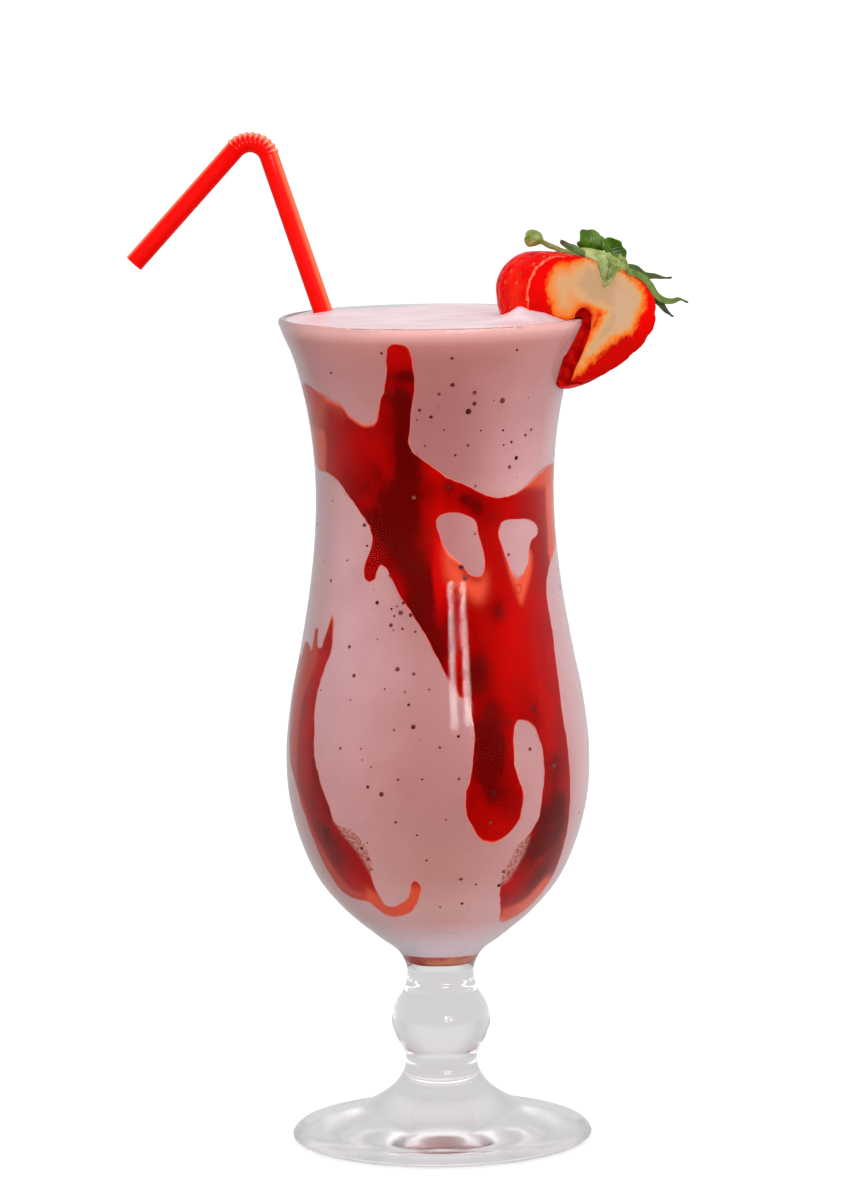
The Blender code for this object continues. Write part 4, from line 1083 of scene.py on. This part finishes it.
def seed_places():
    draw = random.Random(11)
    total = float(np.linalg.norm(np.diff(skin, axis=0), axis=1).sum())
    found = []
    s, row = 7.0, 0
    while s < total - 1.5:
        radius = np.interp(s, np.linspace(0, total, len(skin)), skin[:, 0])
        count = max(3, round(2 * math.pi * radius / (SEED_SPACING * 1.15)))
        for k in range(count):
            angle = 2 * math.pi * (k + 0.5 * (row % 2) + draw.uniform(-0.12, 0.12)) / count
            at = s + draw.uniform(-0.35, 0.35)
            spot = skin_spot(at, angle)
            down = skin_spot(at + 0.3, angle) - spot
            around = skin_spot(at, angle + 0.05) - spot
            outwards = np.cross(down, around)
            outwards /= np.linalg.norm(outwards) * (1 if outwards.dot(spot - [0, 0, -12]) > 0 else -1)
            found.append((spot, outwards, down / np.linalg.norm(down)))
        s += SEED_SPACING * 0.86
        row += 1
    return found


seeds = seed_places()
berry = turn("strawberry_half", [(r, -d) for r, d in skin], sides=200)
places = lean(corners(berry))
pressed = np.zeros(len(places))
inwards = np.zeros_like(places)
for spot, outwards, _ in seeds:
    near = np.exp(-(np.linalg.norm(places - spot, axis=1) / DIMPLE_RADIUS)**2)
    nearer = near > pressed
    pressed[nearer] = near[nearer]
    inwards[nearer] = -outwards
places += inwards * (DIMPLE_DEPTH * pressed)[:, None]
move_corners(berry, places)
print("berry:", len(berry.data.polygons), "faces,", len(seeds), "seeds")

# %% [markdown]
# ## The strawberry: cut and slit
#
# Bisect slices the berry flat and fills the cut. The knife leaves a fine rounded edge, so the rim of the
# cut gets a small bevel, which also catches the light as a bright line; along the cut's left edge that
# line is a painted highlight as well. The slit is the room that the glass wall takes, so a ring with the
# wall's own outline, a hair thinner than the wall, is cut out of the berry: flesh presses against glass
# and leaves no line of air. Two chisels, drawn as outlines on the cut and pushed into it, open the slit
# towards the front and take away the flesh that the knife tore out.

# %% Berry cut
CUT_BEVEL = 0.26
cut_y = -CUT_DEPTH * MM
edit(berry)
bpy.ops.mesh.select_all(action="SELECT")
bpy.ops.mesh.bisect(plane_co=(0, cut_y, 0), plane_no=(0, -1, 0), use_fill=True, clear_outer=True)
bpy.ops.mesh.select_mode(type="EDGE")
bpy.ops.mesh.select_all(action="DESELECT")
form = bmesh.from_edit_mesh(berry.data)
for edge in form.edges:
    on_cut = [face for face in edge.link_faces if abs(face.normal.y + 1) < 0.02 and
              abs(face.calc_center_median().y - cut_y) < 0.01 * MM]
    edge.select = len(on_cut) == 1
bmesh.update_edit_mesh(berry.data)
bpy.ops.mesh.bevel(offset=CUT_BEVEL * MM, segments=2, affect="EDGES")
bpy.ops.object.mode_set(mode="OBJECT")
places = corners(berry)
flush = np.abs(places[:, 1] + CUT_DEPTH) < 0.1
places[flush, 1] = -CUT_DEPTH
move_corners(berry, places)
berry.data.transform(berry_place())

SLIT_PRESS = 0.08            # the flesh presses this far into the glass on either side
inner = [(r + SLIT_PRESS, z) for r, z in BOWL_INSIDE if z > 180]
outer = [(r - SLIT_PRESS, z) for r, z in BOWL_OUTSIDE if z > 180]
over = [(38.2, 215.9), (38.6, 216.2), (39.2, 216.4), (39.8, 216.2), (40.0, 215.9)]
ring = turn("slit_ring", inner + over + outer + inner[:1], sides=96)


def chisel(name, outline, deep):
    """A prism that stands on the cut and reaches into the berry. Its outline is (right, up)."""
    deselect()
    bpy.ops.mesh.primitive_cylinder_add(vertices=len(outline), radius=MM, depth=MM)
    piece = name_it(name)
    places, ends = corners(piece), {}
    for k, (x, y, z) in enumerate(places):
        ends.setdefault(z > 0, []).append((math.atan2(x, y) % (2 * math.pi), k))
    for far, around in ends.items():
        for (right_by, up_by), (_, k) in zip(outline, sorted(around)):
            places[k] = from_face(right_by, up_by, deep if far else -2.0)
    move_corners(piece, places)
    edit(piece)
    bpy.ops.mesh.select_all(action="SELECT")
    bpy.ops.mesh.normals_make_consistent(inside=False)
    bpy.ops.object.mode_set(mode="OBJECT")
    return piece


groove = chisel("groove", [(-9.8, -11.8), (-8.6, -10.6), (-7.2, -10.2), (-5.0, -12.2), (-5.2, -16.2),
                           (-7.3, -21.2), (-10.1, -26.2), (-12.6, -32.5), (-16.5, -32.5),
                           (-13.6, -24.0)], 1.6)
notch = chisel("notch", [(-10.2, -13.4), (-12.2, -20.0), (-14.3, -29.0), (-15.2, -34.0), (-26.0, -34.0),
                         (-26.0, -13.4)], 8.0)
for cutter in (ring, groove, notch):
    cut = berry.modifiers.new("slit", "BOOLEAN")
    cut.operation, cut.solver, cut.object = "DIFFERENCE", "MANIFOLD", cutter
    apply_modifiers(berry)
    bpy.data.objects.remove(cutter)
shade_round(berry, 35)
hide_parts("strawberry")
print("berry cut:", len(berry.data.polygons), "faces")

# %% [markdown]
# ## The strawberry: flesh and skin
#
# The cut shows a pale core that narrows towards the tip, a red rim, and a ragged orange border where
# they meet. The core's left part is painted darker, as painted shade. The core's form is drawn like the
# sauce: as strokes of changing width, given in the plane of the cut. Here the strokes are shader
# expressions, so the border stays sharp on one flat face. Round the slit's mouth the cut is painted dark
# red, painted shade of the cavity. The faces inside the slit get a darker red finish of their own, also
# painted shade, and the fine bevel along the cut's left edge gets a paler one, a painted highlight.

# %% Berry finishes
CORE = [((-12.8, -9.0), 3.4), ((-13.0, -4.0), 4.6), ((-6.0, -4.0), 5.8), ((0.0, -6.0), 5.4),
        ((4.4, -9.0), 5.7), ((3.6, -13.0), 4.5), ((-1.6, -17.5), 2.3), ((-6.2, -22.0), 1.6),
        ((-10.8, -26.8), 0.7)]
SLIT = (((-7.0, -12.6), 2.4), ((-12.6, -28.5), 0.6))


def face_axes(finish):
    """The place on the cut: right and up from the berry's top, in millimetres."""
    where = finish.place()
    axes = []
    for direction in (FACE_RIGHT, FACE_UP):
        dot = finish.node("ShaderNodeVectorMath", {"operation": "DOT_PRODUCT"},
                          {0: where, 1: direction}, output=1)
        axes.append((dot - direction.dot(BERRY_TOP) * MM) / MM)
    return axes


def stroke(u, v, start, end):
    """How far a place lies outside a stroke between two spots, each (place, half width)."""
    (u0, v0), width0 = start
    (u1, v1), width1 = end
    long2 = (u1 - u0)**2 + (v1 - v0)**2
    along = (((u - u0) * (u1 - u0) + (v - v0) * (v1 - v0)) / long2).clamp()
    du, dv = u - u0 - along * (u1 - u0), v - v0 - along * (v1 - v0)
    return (du * du + dv * dv)**0.5 - (along * (width1 - width0) + width0)


berry_cut = Finish("berry_cut", (0.7, 0.1, 0.05), 0.35, **{"Specular IOR Level": 0.02})
u, v = face_axes(berry_cut)
core = None
for start, end in zip(CORE, CORE[1:]):
    away = stroke(u, v, start, end)
    core = away if core is None else core.least(away)
rough = berry_cut.noise(420.0, 3.0) - 0.5
teeth = berry_cut.noise(900.0, 1.0) - 0.5
leftwards = (-u).between(5.0, 12.0)
core = core + rough * 2.6 + teeth * 1.6 + leftwards * 0.5
core = core.most(0.0) + core.least(0.0) / (leftwards * 2.4 + 1.0)
slit_away = stroke(u, v, *SLIT) + rough * 1.2
# painted shade: the core is painted darker on its left, up to a shade line, and paler on its right
pale = berry_cut.mix((u + rough * 3.0).between(0.5, 3.0), (0.62, 0.37, 0.20), (0.71, 0.43, 0.25))
pale = berry_cut.mix(core.between(-3.2, -0.8), pale, (0.78, 0.42, 0.19))
flesh = berry_cut.mix(core.between(-1.1, 0.5), pale, (1.0, 0.22, 0.02))
red = berry_cut.mix((-v - u * 0.3 + rough * 5.0).between(8.0, 20.0), (0.98, 0.001, 0.0),
                    (0.64, 0.001, 0.0))
flesh = berry_cut.mix(core.between(0.2, 1.9), flesh, red)
# painted shade: round the slit's mouth the cut is painted dark red for the shade in the cavity, inside an
# orange fringe of flesh
flesh = berry_cut.mix(slit_away.between(0.2, 1.8), (0.95, 0.16, 0.02), flesh)
flesh = berry_cut.mix(slit_away.between(-0.6, 0.7), (0.62, 0.002, 0.001), flesh)
berry_cut.color(flesh)
berry_cut.bump(berry_cut.noise(1400.0, 2.0), 0.00015, 0.5)

# painted shade: the faces inside the slit are painted a darker red than the flesh on the cut, for the shade
# in the narrow slit
berry_slit_shade = Finish("berry_slit_shade", (0.6, 0.006, 0.004), 0.5, **{"Specular IOR Level": 0.0})
berry_slit_shade.color(berry_slit_shade.mix(berry_slit_shade.noise(500.0, 2.0).between(0.35, 0.65), (0.36, 0.001, 0.001),
                                (0.62, 0.006, 0.003)))

berry_skin = Finish("berry_skin", (0.8, 0.01, 0.003), 0.25, **{
    "Specular IOR Level": 0.02, "Coat Weight": 0.05, "Coat Roughness": 0.08})
# painted highlight: brighter orange-red patches on the skin stand for its glints
glint_patches = berry_skin.noise(110.0, 3.0)
berry_skin.color(berry_skin.mix(glint_patches.between(0.5, 0.8), (0.80, 0.001, 0.0), (0.96, 0.022, 0.004)))
berry_skin.bump(berry_skin.noise(1600.0, 2.0), 0.0001, 0.4)

# painted highlight: the bevel along the cut's left edge is painted a paler orange-red, as a bright line
berry_edge_highlight = Finish("berry_edge_highlight", (1.0, 0.30, 0.20), 0.3, **{"Specular IOR Level": 0.05})
berry_edge_highlight.color(berry_edge_highlight.mix(berry_edge_highlight.noise(500.0, 2.0).between(0.3, 0.6), (0.98, 0.02, 0.01),
                                (1.0, 0.18, 0.09)))

# %% Which face wears which finish
SKIN, CUT, SLIT_WALL, CUT_EDGE_HIGHLIGHT = range(4)
WALL_PLAY, ABOVE_RIM = 0.3, 1.4          # how near a face lies to the glass that it was cut for
MOUTH_RIGHT, MOUTH_UP = (-16.0, -4.6), (199.0, 219.5)
GROOVE_DEEP, NOTCH_DEEP = 1.7, 8.1

berry.data.materials.clear()
for finish in (berry_skin, berry_cut, berry_slit_shade, berry_edge_highlight):
    berry.data.materials.append(finish.material)
cut_at = FACE_BACK.dot(BERRY_TOP) * MM
for face in berry.data.polygons:
    from_axis = math.hypot(face.center.x, face.center.y) / MM
    height = face.center.z / MM
    wall_in = inner_radius(height) - WALL_PLAY
    wall_out = np.interp(height, *np.array(BOWL_OUTSIDE[::-1]).T[::-1]) + WALL_PLAY
    behind_cut = (FACE_BACK.dot(face.center) - cut_at) / MM
    right_by = FACE_RIGHT.dot(face.center) / MM - FACE_RIGHT.dot(BERRY_TOP)
    faces_us = face.normal.dot(-FACE_BACK)
    in_mouth = MOUTH_RIGHT[0] < right_by < MOUTH_RIGHT[1] and MOUTH_UP[0] < height < MOUTH_UP[1]
    chiselled = behind_cut < GROOVE_DEEP or face.normal.dot(FACE_RIGHT) < -0.6
    if faces_us > 0.9 and abs(behind_cut) < 0.3:
        face.material_index = CUT
    elif wall_in < from_axis < wall_out and height < RIM_HEIGHT + ABOVE_RIM:
        face.material_index = SLIT_WALL
    elif 0.3 < behind_cut < NOTCH_DEEP and in_mouth and chiselled:
        face.material_index = SLIT_WALL
    elif behind_cut < 0.5 and right_by < -12.0 and faces_us > 0.3 and height > RIM_HEIGHT:
        face.material_index = CUT_EDGE_HIGHLIGHT
    face.use_smooth = face.material_index == SKIN
wear(berry, berry_skin)
print("faces inside the slit:", sum(face.material_index == SLIT_WALL for face in berry.data.polygons))

# %% [markdown]
# ## The strawberry: seeds
#
# Each dimple carries one seed. It is a small ball drawn out to a drop's length and sunk by its own
# radius, so that its top lies a little below the skin round it. There is none on the cut, and none
# where the berry meets the glass.

# %% Seeds
SEED_RADIUS = 0.36
RIM_CLEARANCE = (41.5, 217.5)            # no seed shows where glass and berry meet

seed_matrices = []
place = berry_place()
for spot, outwards, down in seeds:
    world = place @ (Vector(spot) * MM)
    on_cut = spot[1] < -CUT_DEPTH + 0.3
    if on_cut or (math.hypot(world.x, world.y) < RIM_CLEARANCE[0] * MM and world.z < RIM_CLEARANCE[1] * MM):
        continue
    x_axis = Vector(down) - Vector(outwards) * Vector(down).dot(outwards)
    x_axis.normalize()
    y_axis = Vector(outwards).cross(x_axis)
    turn_to = Matrix((x_axis, y_axis, Vector(outwards))).transposed().to_4x4()
    sunk = Matrix.Translation((Vector(spot) - Vector(outwards) * SEED_RADIUS) * MM)
    seed_matrices.append(place @ sunk @ turn_to)
seed_piece = strew("strawberry_seeds", ball("seed", SEED_RADIUS, 0.6, 1.75), seed_matrices)
seed_gold = Finish("seed_gold", (0.75, 0.2, 0.03), 0.35, **{"Specular IOR Level": 0.1})
seed_gold.color(seed_gold.mix(seed_gold.noise(400.0, 1.0).between(0.4, 0.6), (0.70, 0.09, 0.016),
                              (0.50, 0.012, 0.003)))
wear(seed_piece, seed_gold)
print("seeds that show:", len(seed_matrices))

# %% [markdown]
# ## The strawberry's leaves
#
# The leaves grow from a pale, hairy cap. Each is a grid whose long side follows a path in the berry's
# face frame. Its width follows one of three outlines: a round disc at the end of a stalk, a pointed
# blade, or an oval. Its edges stand up a little, the midrib is a shallow groove, and the sheet ripples.
# Solidify gives it a leaf's thickness.

# %% Leaves
LEAVES = {
    "curled": ([(-6.5, 2.2, 5), (-9.6, 3.6, 5.6), (-12.4, 4.9, 6), (-15.6, 6.4, 6.2), (-18.3, 7.5, 6.4),
                (-20.7, 8.0, 6.2)], 2.3, (0.2, 1, -0.25), "disc"),
    "spear": ([(1, 0.4, 4), (-2.0, 1.6, 3), (-5.1, 3.4, 2.4), (-8.5, 4.9, 2.1), (-11.2, 5.9, 1.9),
               (-12.9, 6.9, 1.6)], 1.5, (0, 0.7, 0.7), "pointed"),
    "crest_left": ([(2.6, 4.0, 6.0), (0.6, 5.4, 7.0), (-1.4, 6.2, 7.4), (-3.3, 6.4, 7.0), (-4.9, 6.1, 6.0)],
                   2.5, (0.1, 1, -0.25), "oval"),
    "crest_right": ([(1.4, 6.0, 5.0), (3.0, 5.0, 5.8), (4.7, 3.3, 6.2), (6.2, 1.4, 5.8), (7.2, -0.6, 4.8)],
                    2.7, (0.83, 0.55, 0.1), "oval"),
    "thin": ([(3, 0.4, 8), (7.6, -0.8, 7.6), (12.3, -2.1, 7.4), (15.3, -3.7, 7.2), (18.6, -4.2, 7),
              (22.6, -4.6, 6.8)], 1.2, (0, 0.6, 0.8), "pointed"),
    "long": ([(2.3, -0.6, 3.6), (4.9, -1.7, 2.8), (8.2, -2.5, 2.4), (11.5, -4.0, 2.2), (13.5, -6.3, 2),
              (15.5, -8.6, 2), (17.6, -10.0, 2), (19.8, -10.3, 2), (22.4, -9.7, 2), (24.6, -10.7, 2)], 1.2,
             (0.2, 0.75, 0.6), "pointed"),
    "low": ([(5, -1.6, 5), (8.2, -4.0, 3.4), (12.1, -6.1, 2.6), (15, -9.4, 2.2), (17.7, -12.1, 2),
             (20.2, -14.1, 2)], 1.5, (0.4, 0.6, 0.7), "pointed"),
    "vee_left": ([(-3.6, 3.4, 0.6), (-2.4, 1.2, -0.2), (-1.9, -1.4, -0.4), (-1.3, -4.8, -0.2)], 0.6,
                 (1, 0.2, -0.1), "pointed"),
    "vee_right": ([(3.8, 0.8, 0.6), (2.0, -1.0, -0.3), (0.4, -3.0, -0.4), (-1.2, -5.2, -0.2)], 0.55,
                  (0.7, 0.7, 0), "pointed"),
    "vee_middle": ([(0.4, 3.4, 0.2), (0.6, 1.0, -0.6), (0.2, -1.6, -0.6), (-0.6, -3.4, -0.4)], 0.5,
                   (1, 0, -0.2), "pointed"),
    "fringe": ([(4.4, 2.4, 2.0), (5.6, 0.4, 1.0), (6.0, -1.6, 0.4), (6.6, -4.0, 0.2)], 0.6,
               (1, 0.2, 0.2), "pointed"),
    "back_a": ([(1, 1, 8), (-3, 2.6, 13), (-6, 1.4, 18), (-8, -2.4, 22)], 2.8, (0.8, 0.1, 0.5), "pointed"),
    "back_b": ([(2, 1, 9), (7, 0.8, 13), (11, -1.4, 16.6), (15, -4.6, 18.6)], 2.8, (0.6, 0.2, -0.7),
               "pointed"),
}
# How pale and how dark each leaf is, and how purple its tip.
LEAF_TONES = {"curled": (0.85, 0.0, 0.0), "spear": (0.15, 0.55, 0.8), "crest_left": (0.0, 0.0, 0.0),
              "crest_right": (0.0, 0.0, 0.0), "thin": (0.1, 0.75, 0.7), "long": (0.3, 0.1, 0.8),
              "low": (0.0, 0.75, 0.8), "vee_left": (0.9, 0.0, 0.0), "vee_right": (1.0, 0.0, 0.0),
              "vee_middle": (0.6, 0.1, 0.1), "fringe": (0.5, 0.1, 0.1), "back_a": (0.1, 0.2, 0.2),
              "back_b": (0.1, 0.3, 0.2)}
CAP_PROFILE = [(0.0, 2.6), (2.4, 2.7), (4.6, 2.2), (7.0, 1.2), (8.2, -0.2), (7.8, -1.2), (7.1, -2.2),
               (6.9, -3.0), (0.0, -3.2)]
CAP_LIFT, CAP_SHIFT = 0.9, 2.0
LEAF_THICKNESS = 0.4


def leaf_width(t, kind):
    """A leaf's width along it, as a share of its widest place."""
    if kind == "pointed":
        return 0.12 + 0.88 * math.sin(math.pi * (0.22 + 0.76 * t)) ** 0.8
    if kind == "disc":
        return max(0.26, math.sqrt(max(0.0, 1 - ((t - 0.84) / 0.165)**2)) if t < 0.999 else 0.0)
    return max(0.1, math.sqrt(max(0.0, 1 - (2 * t - 1)**2)))


def grow_leaf(name, across_count=8, along_count=40):
    path, half_width, side, kind = LEAVES[name]
    knots = np.array([tuple(from_face(*knot)) for knot in path])
    total = np.linalg.norm(np.diff(knots, axis=0), axis=1).sum()
    spine = smooth_curve(knots, total / (along_count - 0.5))
    side = (FACE_RIGHT * side[0] + FACE_UP * side[1] + FACE_BACK * side[2]).normalized()
    deselect()
    bpy.ops.mesh.primitive_grid_add(x_subdivisions=across_count, y_subdivisions=len(spine) - 1, size=MM)
    leaf = name_it("leaf_" + name)
    flat = corners(leaf)[:, :2] + 0.5
    places, alongs = [], []
    for s, t in flat:
        k = min(len(spine) - 1, round(t * (len(spine) - 1)))
        forwards = Vector(spine[min(k + 1, len(spine) - 1)] - spine[max(k - 1, 0)]).normalized()
        across = (side - forwards * side.dot(forwards)).normalized()
        facing_up = forwards.cross(across)
        s = 2 * s - 1
        width = half_width * leaf_width(t, kind) * (1 + 0.06 * math.sin(19 * t + len(name) + 2 * s))
        ripple = 0.3 * math.sin(7 * t + len(name)) * s + 0.16 * math.sin(23 * t + 3 * s) * abs(s)
        cupped = 0.5 if kind == "oval" else 0.3
        lift = cupped * width * s * s + ripple - 0.12 * math.exp(-(s / 0.12)**2)
        places.append(Vector(spine[k]) + across * width * s + facing_up * lift)
        alongs.append(t)
    move_corners(leaf, np.array([tuple(p) for p in places]))
    pale, dark, purple = LEAF_TONES[name]
    alongs = np.array(alongs)
    write_attribute(leaf, "along", alongs)
    write_attribute(leaf, "across", np.abs(2 * flat[:, 0] - 1))
    write_attribute(leaf, "pale", pale + 0.9 * np.clip(1 - alongs / 0.28, 0, 1) * (LEAVES[name][3] != "oval"))
    write_attribute(leaf, "dark", np.full(len(flat), dark))
    write_attribute(leaf, "purple", purple * np.clip((alongs - 0.72) / 0.28, 0, 1))
    thicken(leaf, LEAF_THICKNESS, 0.0)
    return leaf


leaves = [grow_leaf(name) for name in LEAVES]
cap = turn("leaf_cap", [(r, z + CAP_LIFT) for r, z in smooth_curve(CAP_PROFILE, 0.5)], sides=72)
places = lean(corners(cap))
for k, place in enumerate(places):
    ridge = noise.noise(Vector((math.atan2(place[1], place[0]) * 2.4, place[2] / 3, 0)))
    places[k] = place * (1 + 0.10 * ridge * min(1.0, math.hypot(place[0], place[1]) / 5))
move_corners(cap, places)
edit(cap)
bpy.ops.mesh.select_all(action="SELECT")
bpy.ops.mesh.bisect(plane_co=(0, cut_y - 0.15 * MM, 0), plane_no=(0, -1, 0), use_fill=True, clear_outer=True)
bpy.ops.object.mode_set(mode="OBJECT")
cap.data.transform(berry_place() @ Matrix.Translation((CAP_SHIFT * MM, 0, 0)))
for name, value in (("pale", 1.0), ("dark", 0.0), ("along", 0.0), ("across", 0.5), ("purple", 0.0)):
    write_attribute(cap, name, np.full(len(cap.data.vertices), value))
select_only(cap)
for leaf in leaves:
    leaf.select_set(True)
bpy.ops.object.join()
calyx = name_it("strawberry_leaves")
shade_round(calyx, 60)
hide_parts("strawberry_calyx")
print("leaves:", len(calyx.data.polygons), "faces")

# %% Leaf finish
leaf_green = Finish("leaf_green", (0.1, 0.22, 0.02), 0.42, **{"Specular IOR Level": 0.2})
blotch = leaf_green.noise(330.0, 3.0)
green = leaf_green.mix(blotch.between(0.3, 0.7), (0.045, 0.12, 0.002), (0.12, 0.26, 0.012))
green = leaf_green.mix(leaf_green.attribute("dark"), green, (0.022, 0.045, 0.012))
pale = leaf_green.mix(blotch.between(0.38, 0.55), (0.24, 0.33, 0.06), (0.42, 0.48, 0.17))
green = leaf_green.mix(leaf_green.attribute("pale").clamp(), green, pale)
vein = (leaf_green.attribute("along") * 60.0 - leaf_green.attribute("across") * 9.0).sin()
midrib = (1.0 - leaf_green.attribute("across")).between(0.82, 1.0)
green = leaf_green.mix(midrib * 0.55, green, (0.16, 0.27, 0.04))
green = leaf_green.mix(leaf_green.attribute("purple") * blotch.between(0.2, 0.6), green, (0.09, 0.025, 0.04))
leaf_green.color(green)
leaf_green.bump(vein * 0.5 + blotch, 0.00015, 0.6)
wear(calyx, leaf_green)
print("leaves finished")

# %% [markdown]
# ## Floor and light
#
# Clear glass looks like what stands round it, so the surroundings are the real light here. The world is
# brightest before the glass, dimmer at its sides and behind it, and an even soft grey below. That grey
# is what foot and stem show, and it keeps the drink's flanks from washing out. The floor is only a
# backdrop: a white floor that lit the glass would fill it with its own reflection. Two narrow panes
# appear in reflections alone and make the pair of thin strips on the belly.

# %% Floor
deselect()
bpy.ops.mesh.primitive_grid_add(x_subdivisions=2, y_subdivisions=2, size=60.0, location=(0, 0, -0.0002))
floor = name_it("floor")
floor_white = Finish("floor_white", (0.5, 0.5, 0.5), 0.7, **{"Specular IOR Level": 0.0})
floor_white.put(floor_white.shader, {"Emission Color": (1, 1, 1, 1), "Emission Strength": 0.6})
floor.data.materials.append(floor_white.material)
floor.visible_diffuse = floor.visible_glossy = floor.visible_transmission = False

# %% Light
# The world's light by direction, from before the glass (-1) over its sides to behind it (1).
SIDE_LIGHT = [(-1.0, 1.45), (-0.55, 1.35), (-0.2, 0.78), (0.15, 0.7), (0.5, 0.6), (0.8, 0.6),
              (0.94, 0.74), (1.0, 0.74)]
BELOW = 0.66
OVERHEAD = 1.08


class Surroundings(Finish):
    """The world's light. It has no Principled shader, but its nodes are written in the same way."""

    def __init__(self, name):
        self.world = bpy.data.worlds.new(name)
        self.world.use_nodes = True
        self.tree = self.world.node_tree

    def ranged(self, value, low, high, top=1.0):
        """0 below low, top above high, and a straight rise from one to the other."""
        return self.node("ShaderNodeMapRange", None,
                         {"Value": value, "From Min": low, "From Max": high, "To Max": top})


studio = Surroundings("studio")
bpy.context.scene.world = studio.world
direction = studio.node("ShaderNodeTexCoord")
behind, above = (studio.node("ShaderNodeSeparateXYZ", None, {0: direction}, output=k) for k in (1, 2))
stops = [(0.5 + 0.5 * y, (strength, strength, strength)) for y, strength in SIDE_LIGHT]
sides = studio.node("ShaderNodeValToRGB", {"stops": stops}, {0: studio.ranged(behind, -1.0, 1.0)})
brighter = sides.most(studio.ranged(above, 0.25, 0.75, OVERHEAD))
strength = studio.node("ShaderNodeMix", None, {0: studio.ranged(above, -0.10, -0.01), 2: BELOW, 3: brighter})
studio.put(studio.tree.nodes["Background"], {"Color": (1, 1, 1, 1), "Strength": strength})

PANES = [(13.0, 0.19), (24.2, 0.22)]     # how far round each pane stands, in degrees, and its width
PANE_AWAY, PANE_UP, PANE_TALL = 2.0, 0.60, 0.51
PANE_WATTS = 330.0                       # for each square metre


def soft_light(name, place, aim, width, tall, watts, color=(1, 1, 1), lights_up=True):
    lamp = bpy.data.lights.new(name, "AREA")
    lamp.shape, lamp.size, lamp.size_y, lamp.energy, lamp.color = "RECTANGLE", width, tall, watts, color
    holder = bpy.data.objects.new(name, lamp)
    holder.location = place
    holder.visible_diffuse = holder.visible_transmission = lights_up
    holder.rotation_euler = (Vector(aim) - Vector(place)).to_track_quat("-Z", "Y").to_euler()
    bpy.context.scene.collection.objects.link(holder)


soft_light("over_box", (0.0, 0.25, 1.3), (0, 0, 0.2), 0.5, 0.5, 2.2, (1.0, 0.92, 0.86))
for k, (turned, width) in enumerate(PANES):
    around = math.radians(turned)
    spot = (PANE_AWAY * math.sin(around), -PANE_AWAY * math.cos(around), PANE_UP)
    soft_light(f"pane_{k}", spot, (0, 0, 0.13), width, PANE_TALL, PANE_WATTS * width * PANE_TALL,
               (1.0, 0.96, 0.97), False)

scene = bpy.context.scene
scene.view_settings.view_transform = "Standard"
scene.view_settings.look = "None"
scene.cycles.caustics_refractive = True
scene.cycles.caustics_reflective = False
scene.cycles.max_bounces = scene.cycles.transmission_bounces = 24
scene.cycles.glossy_bounces = 16
print("lights ready")
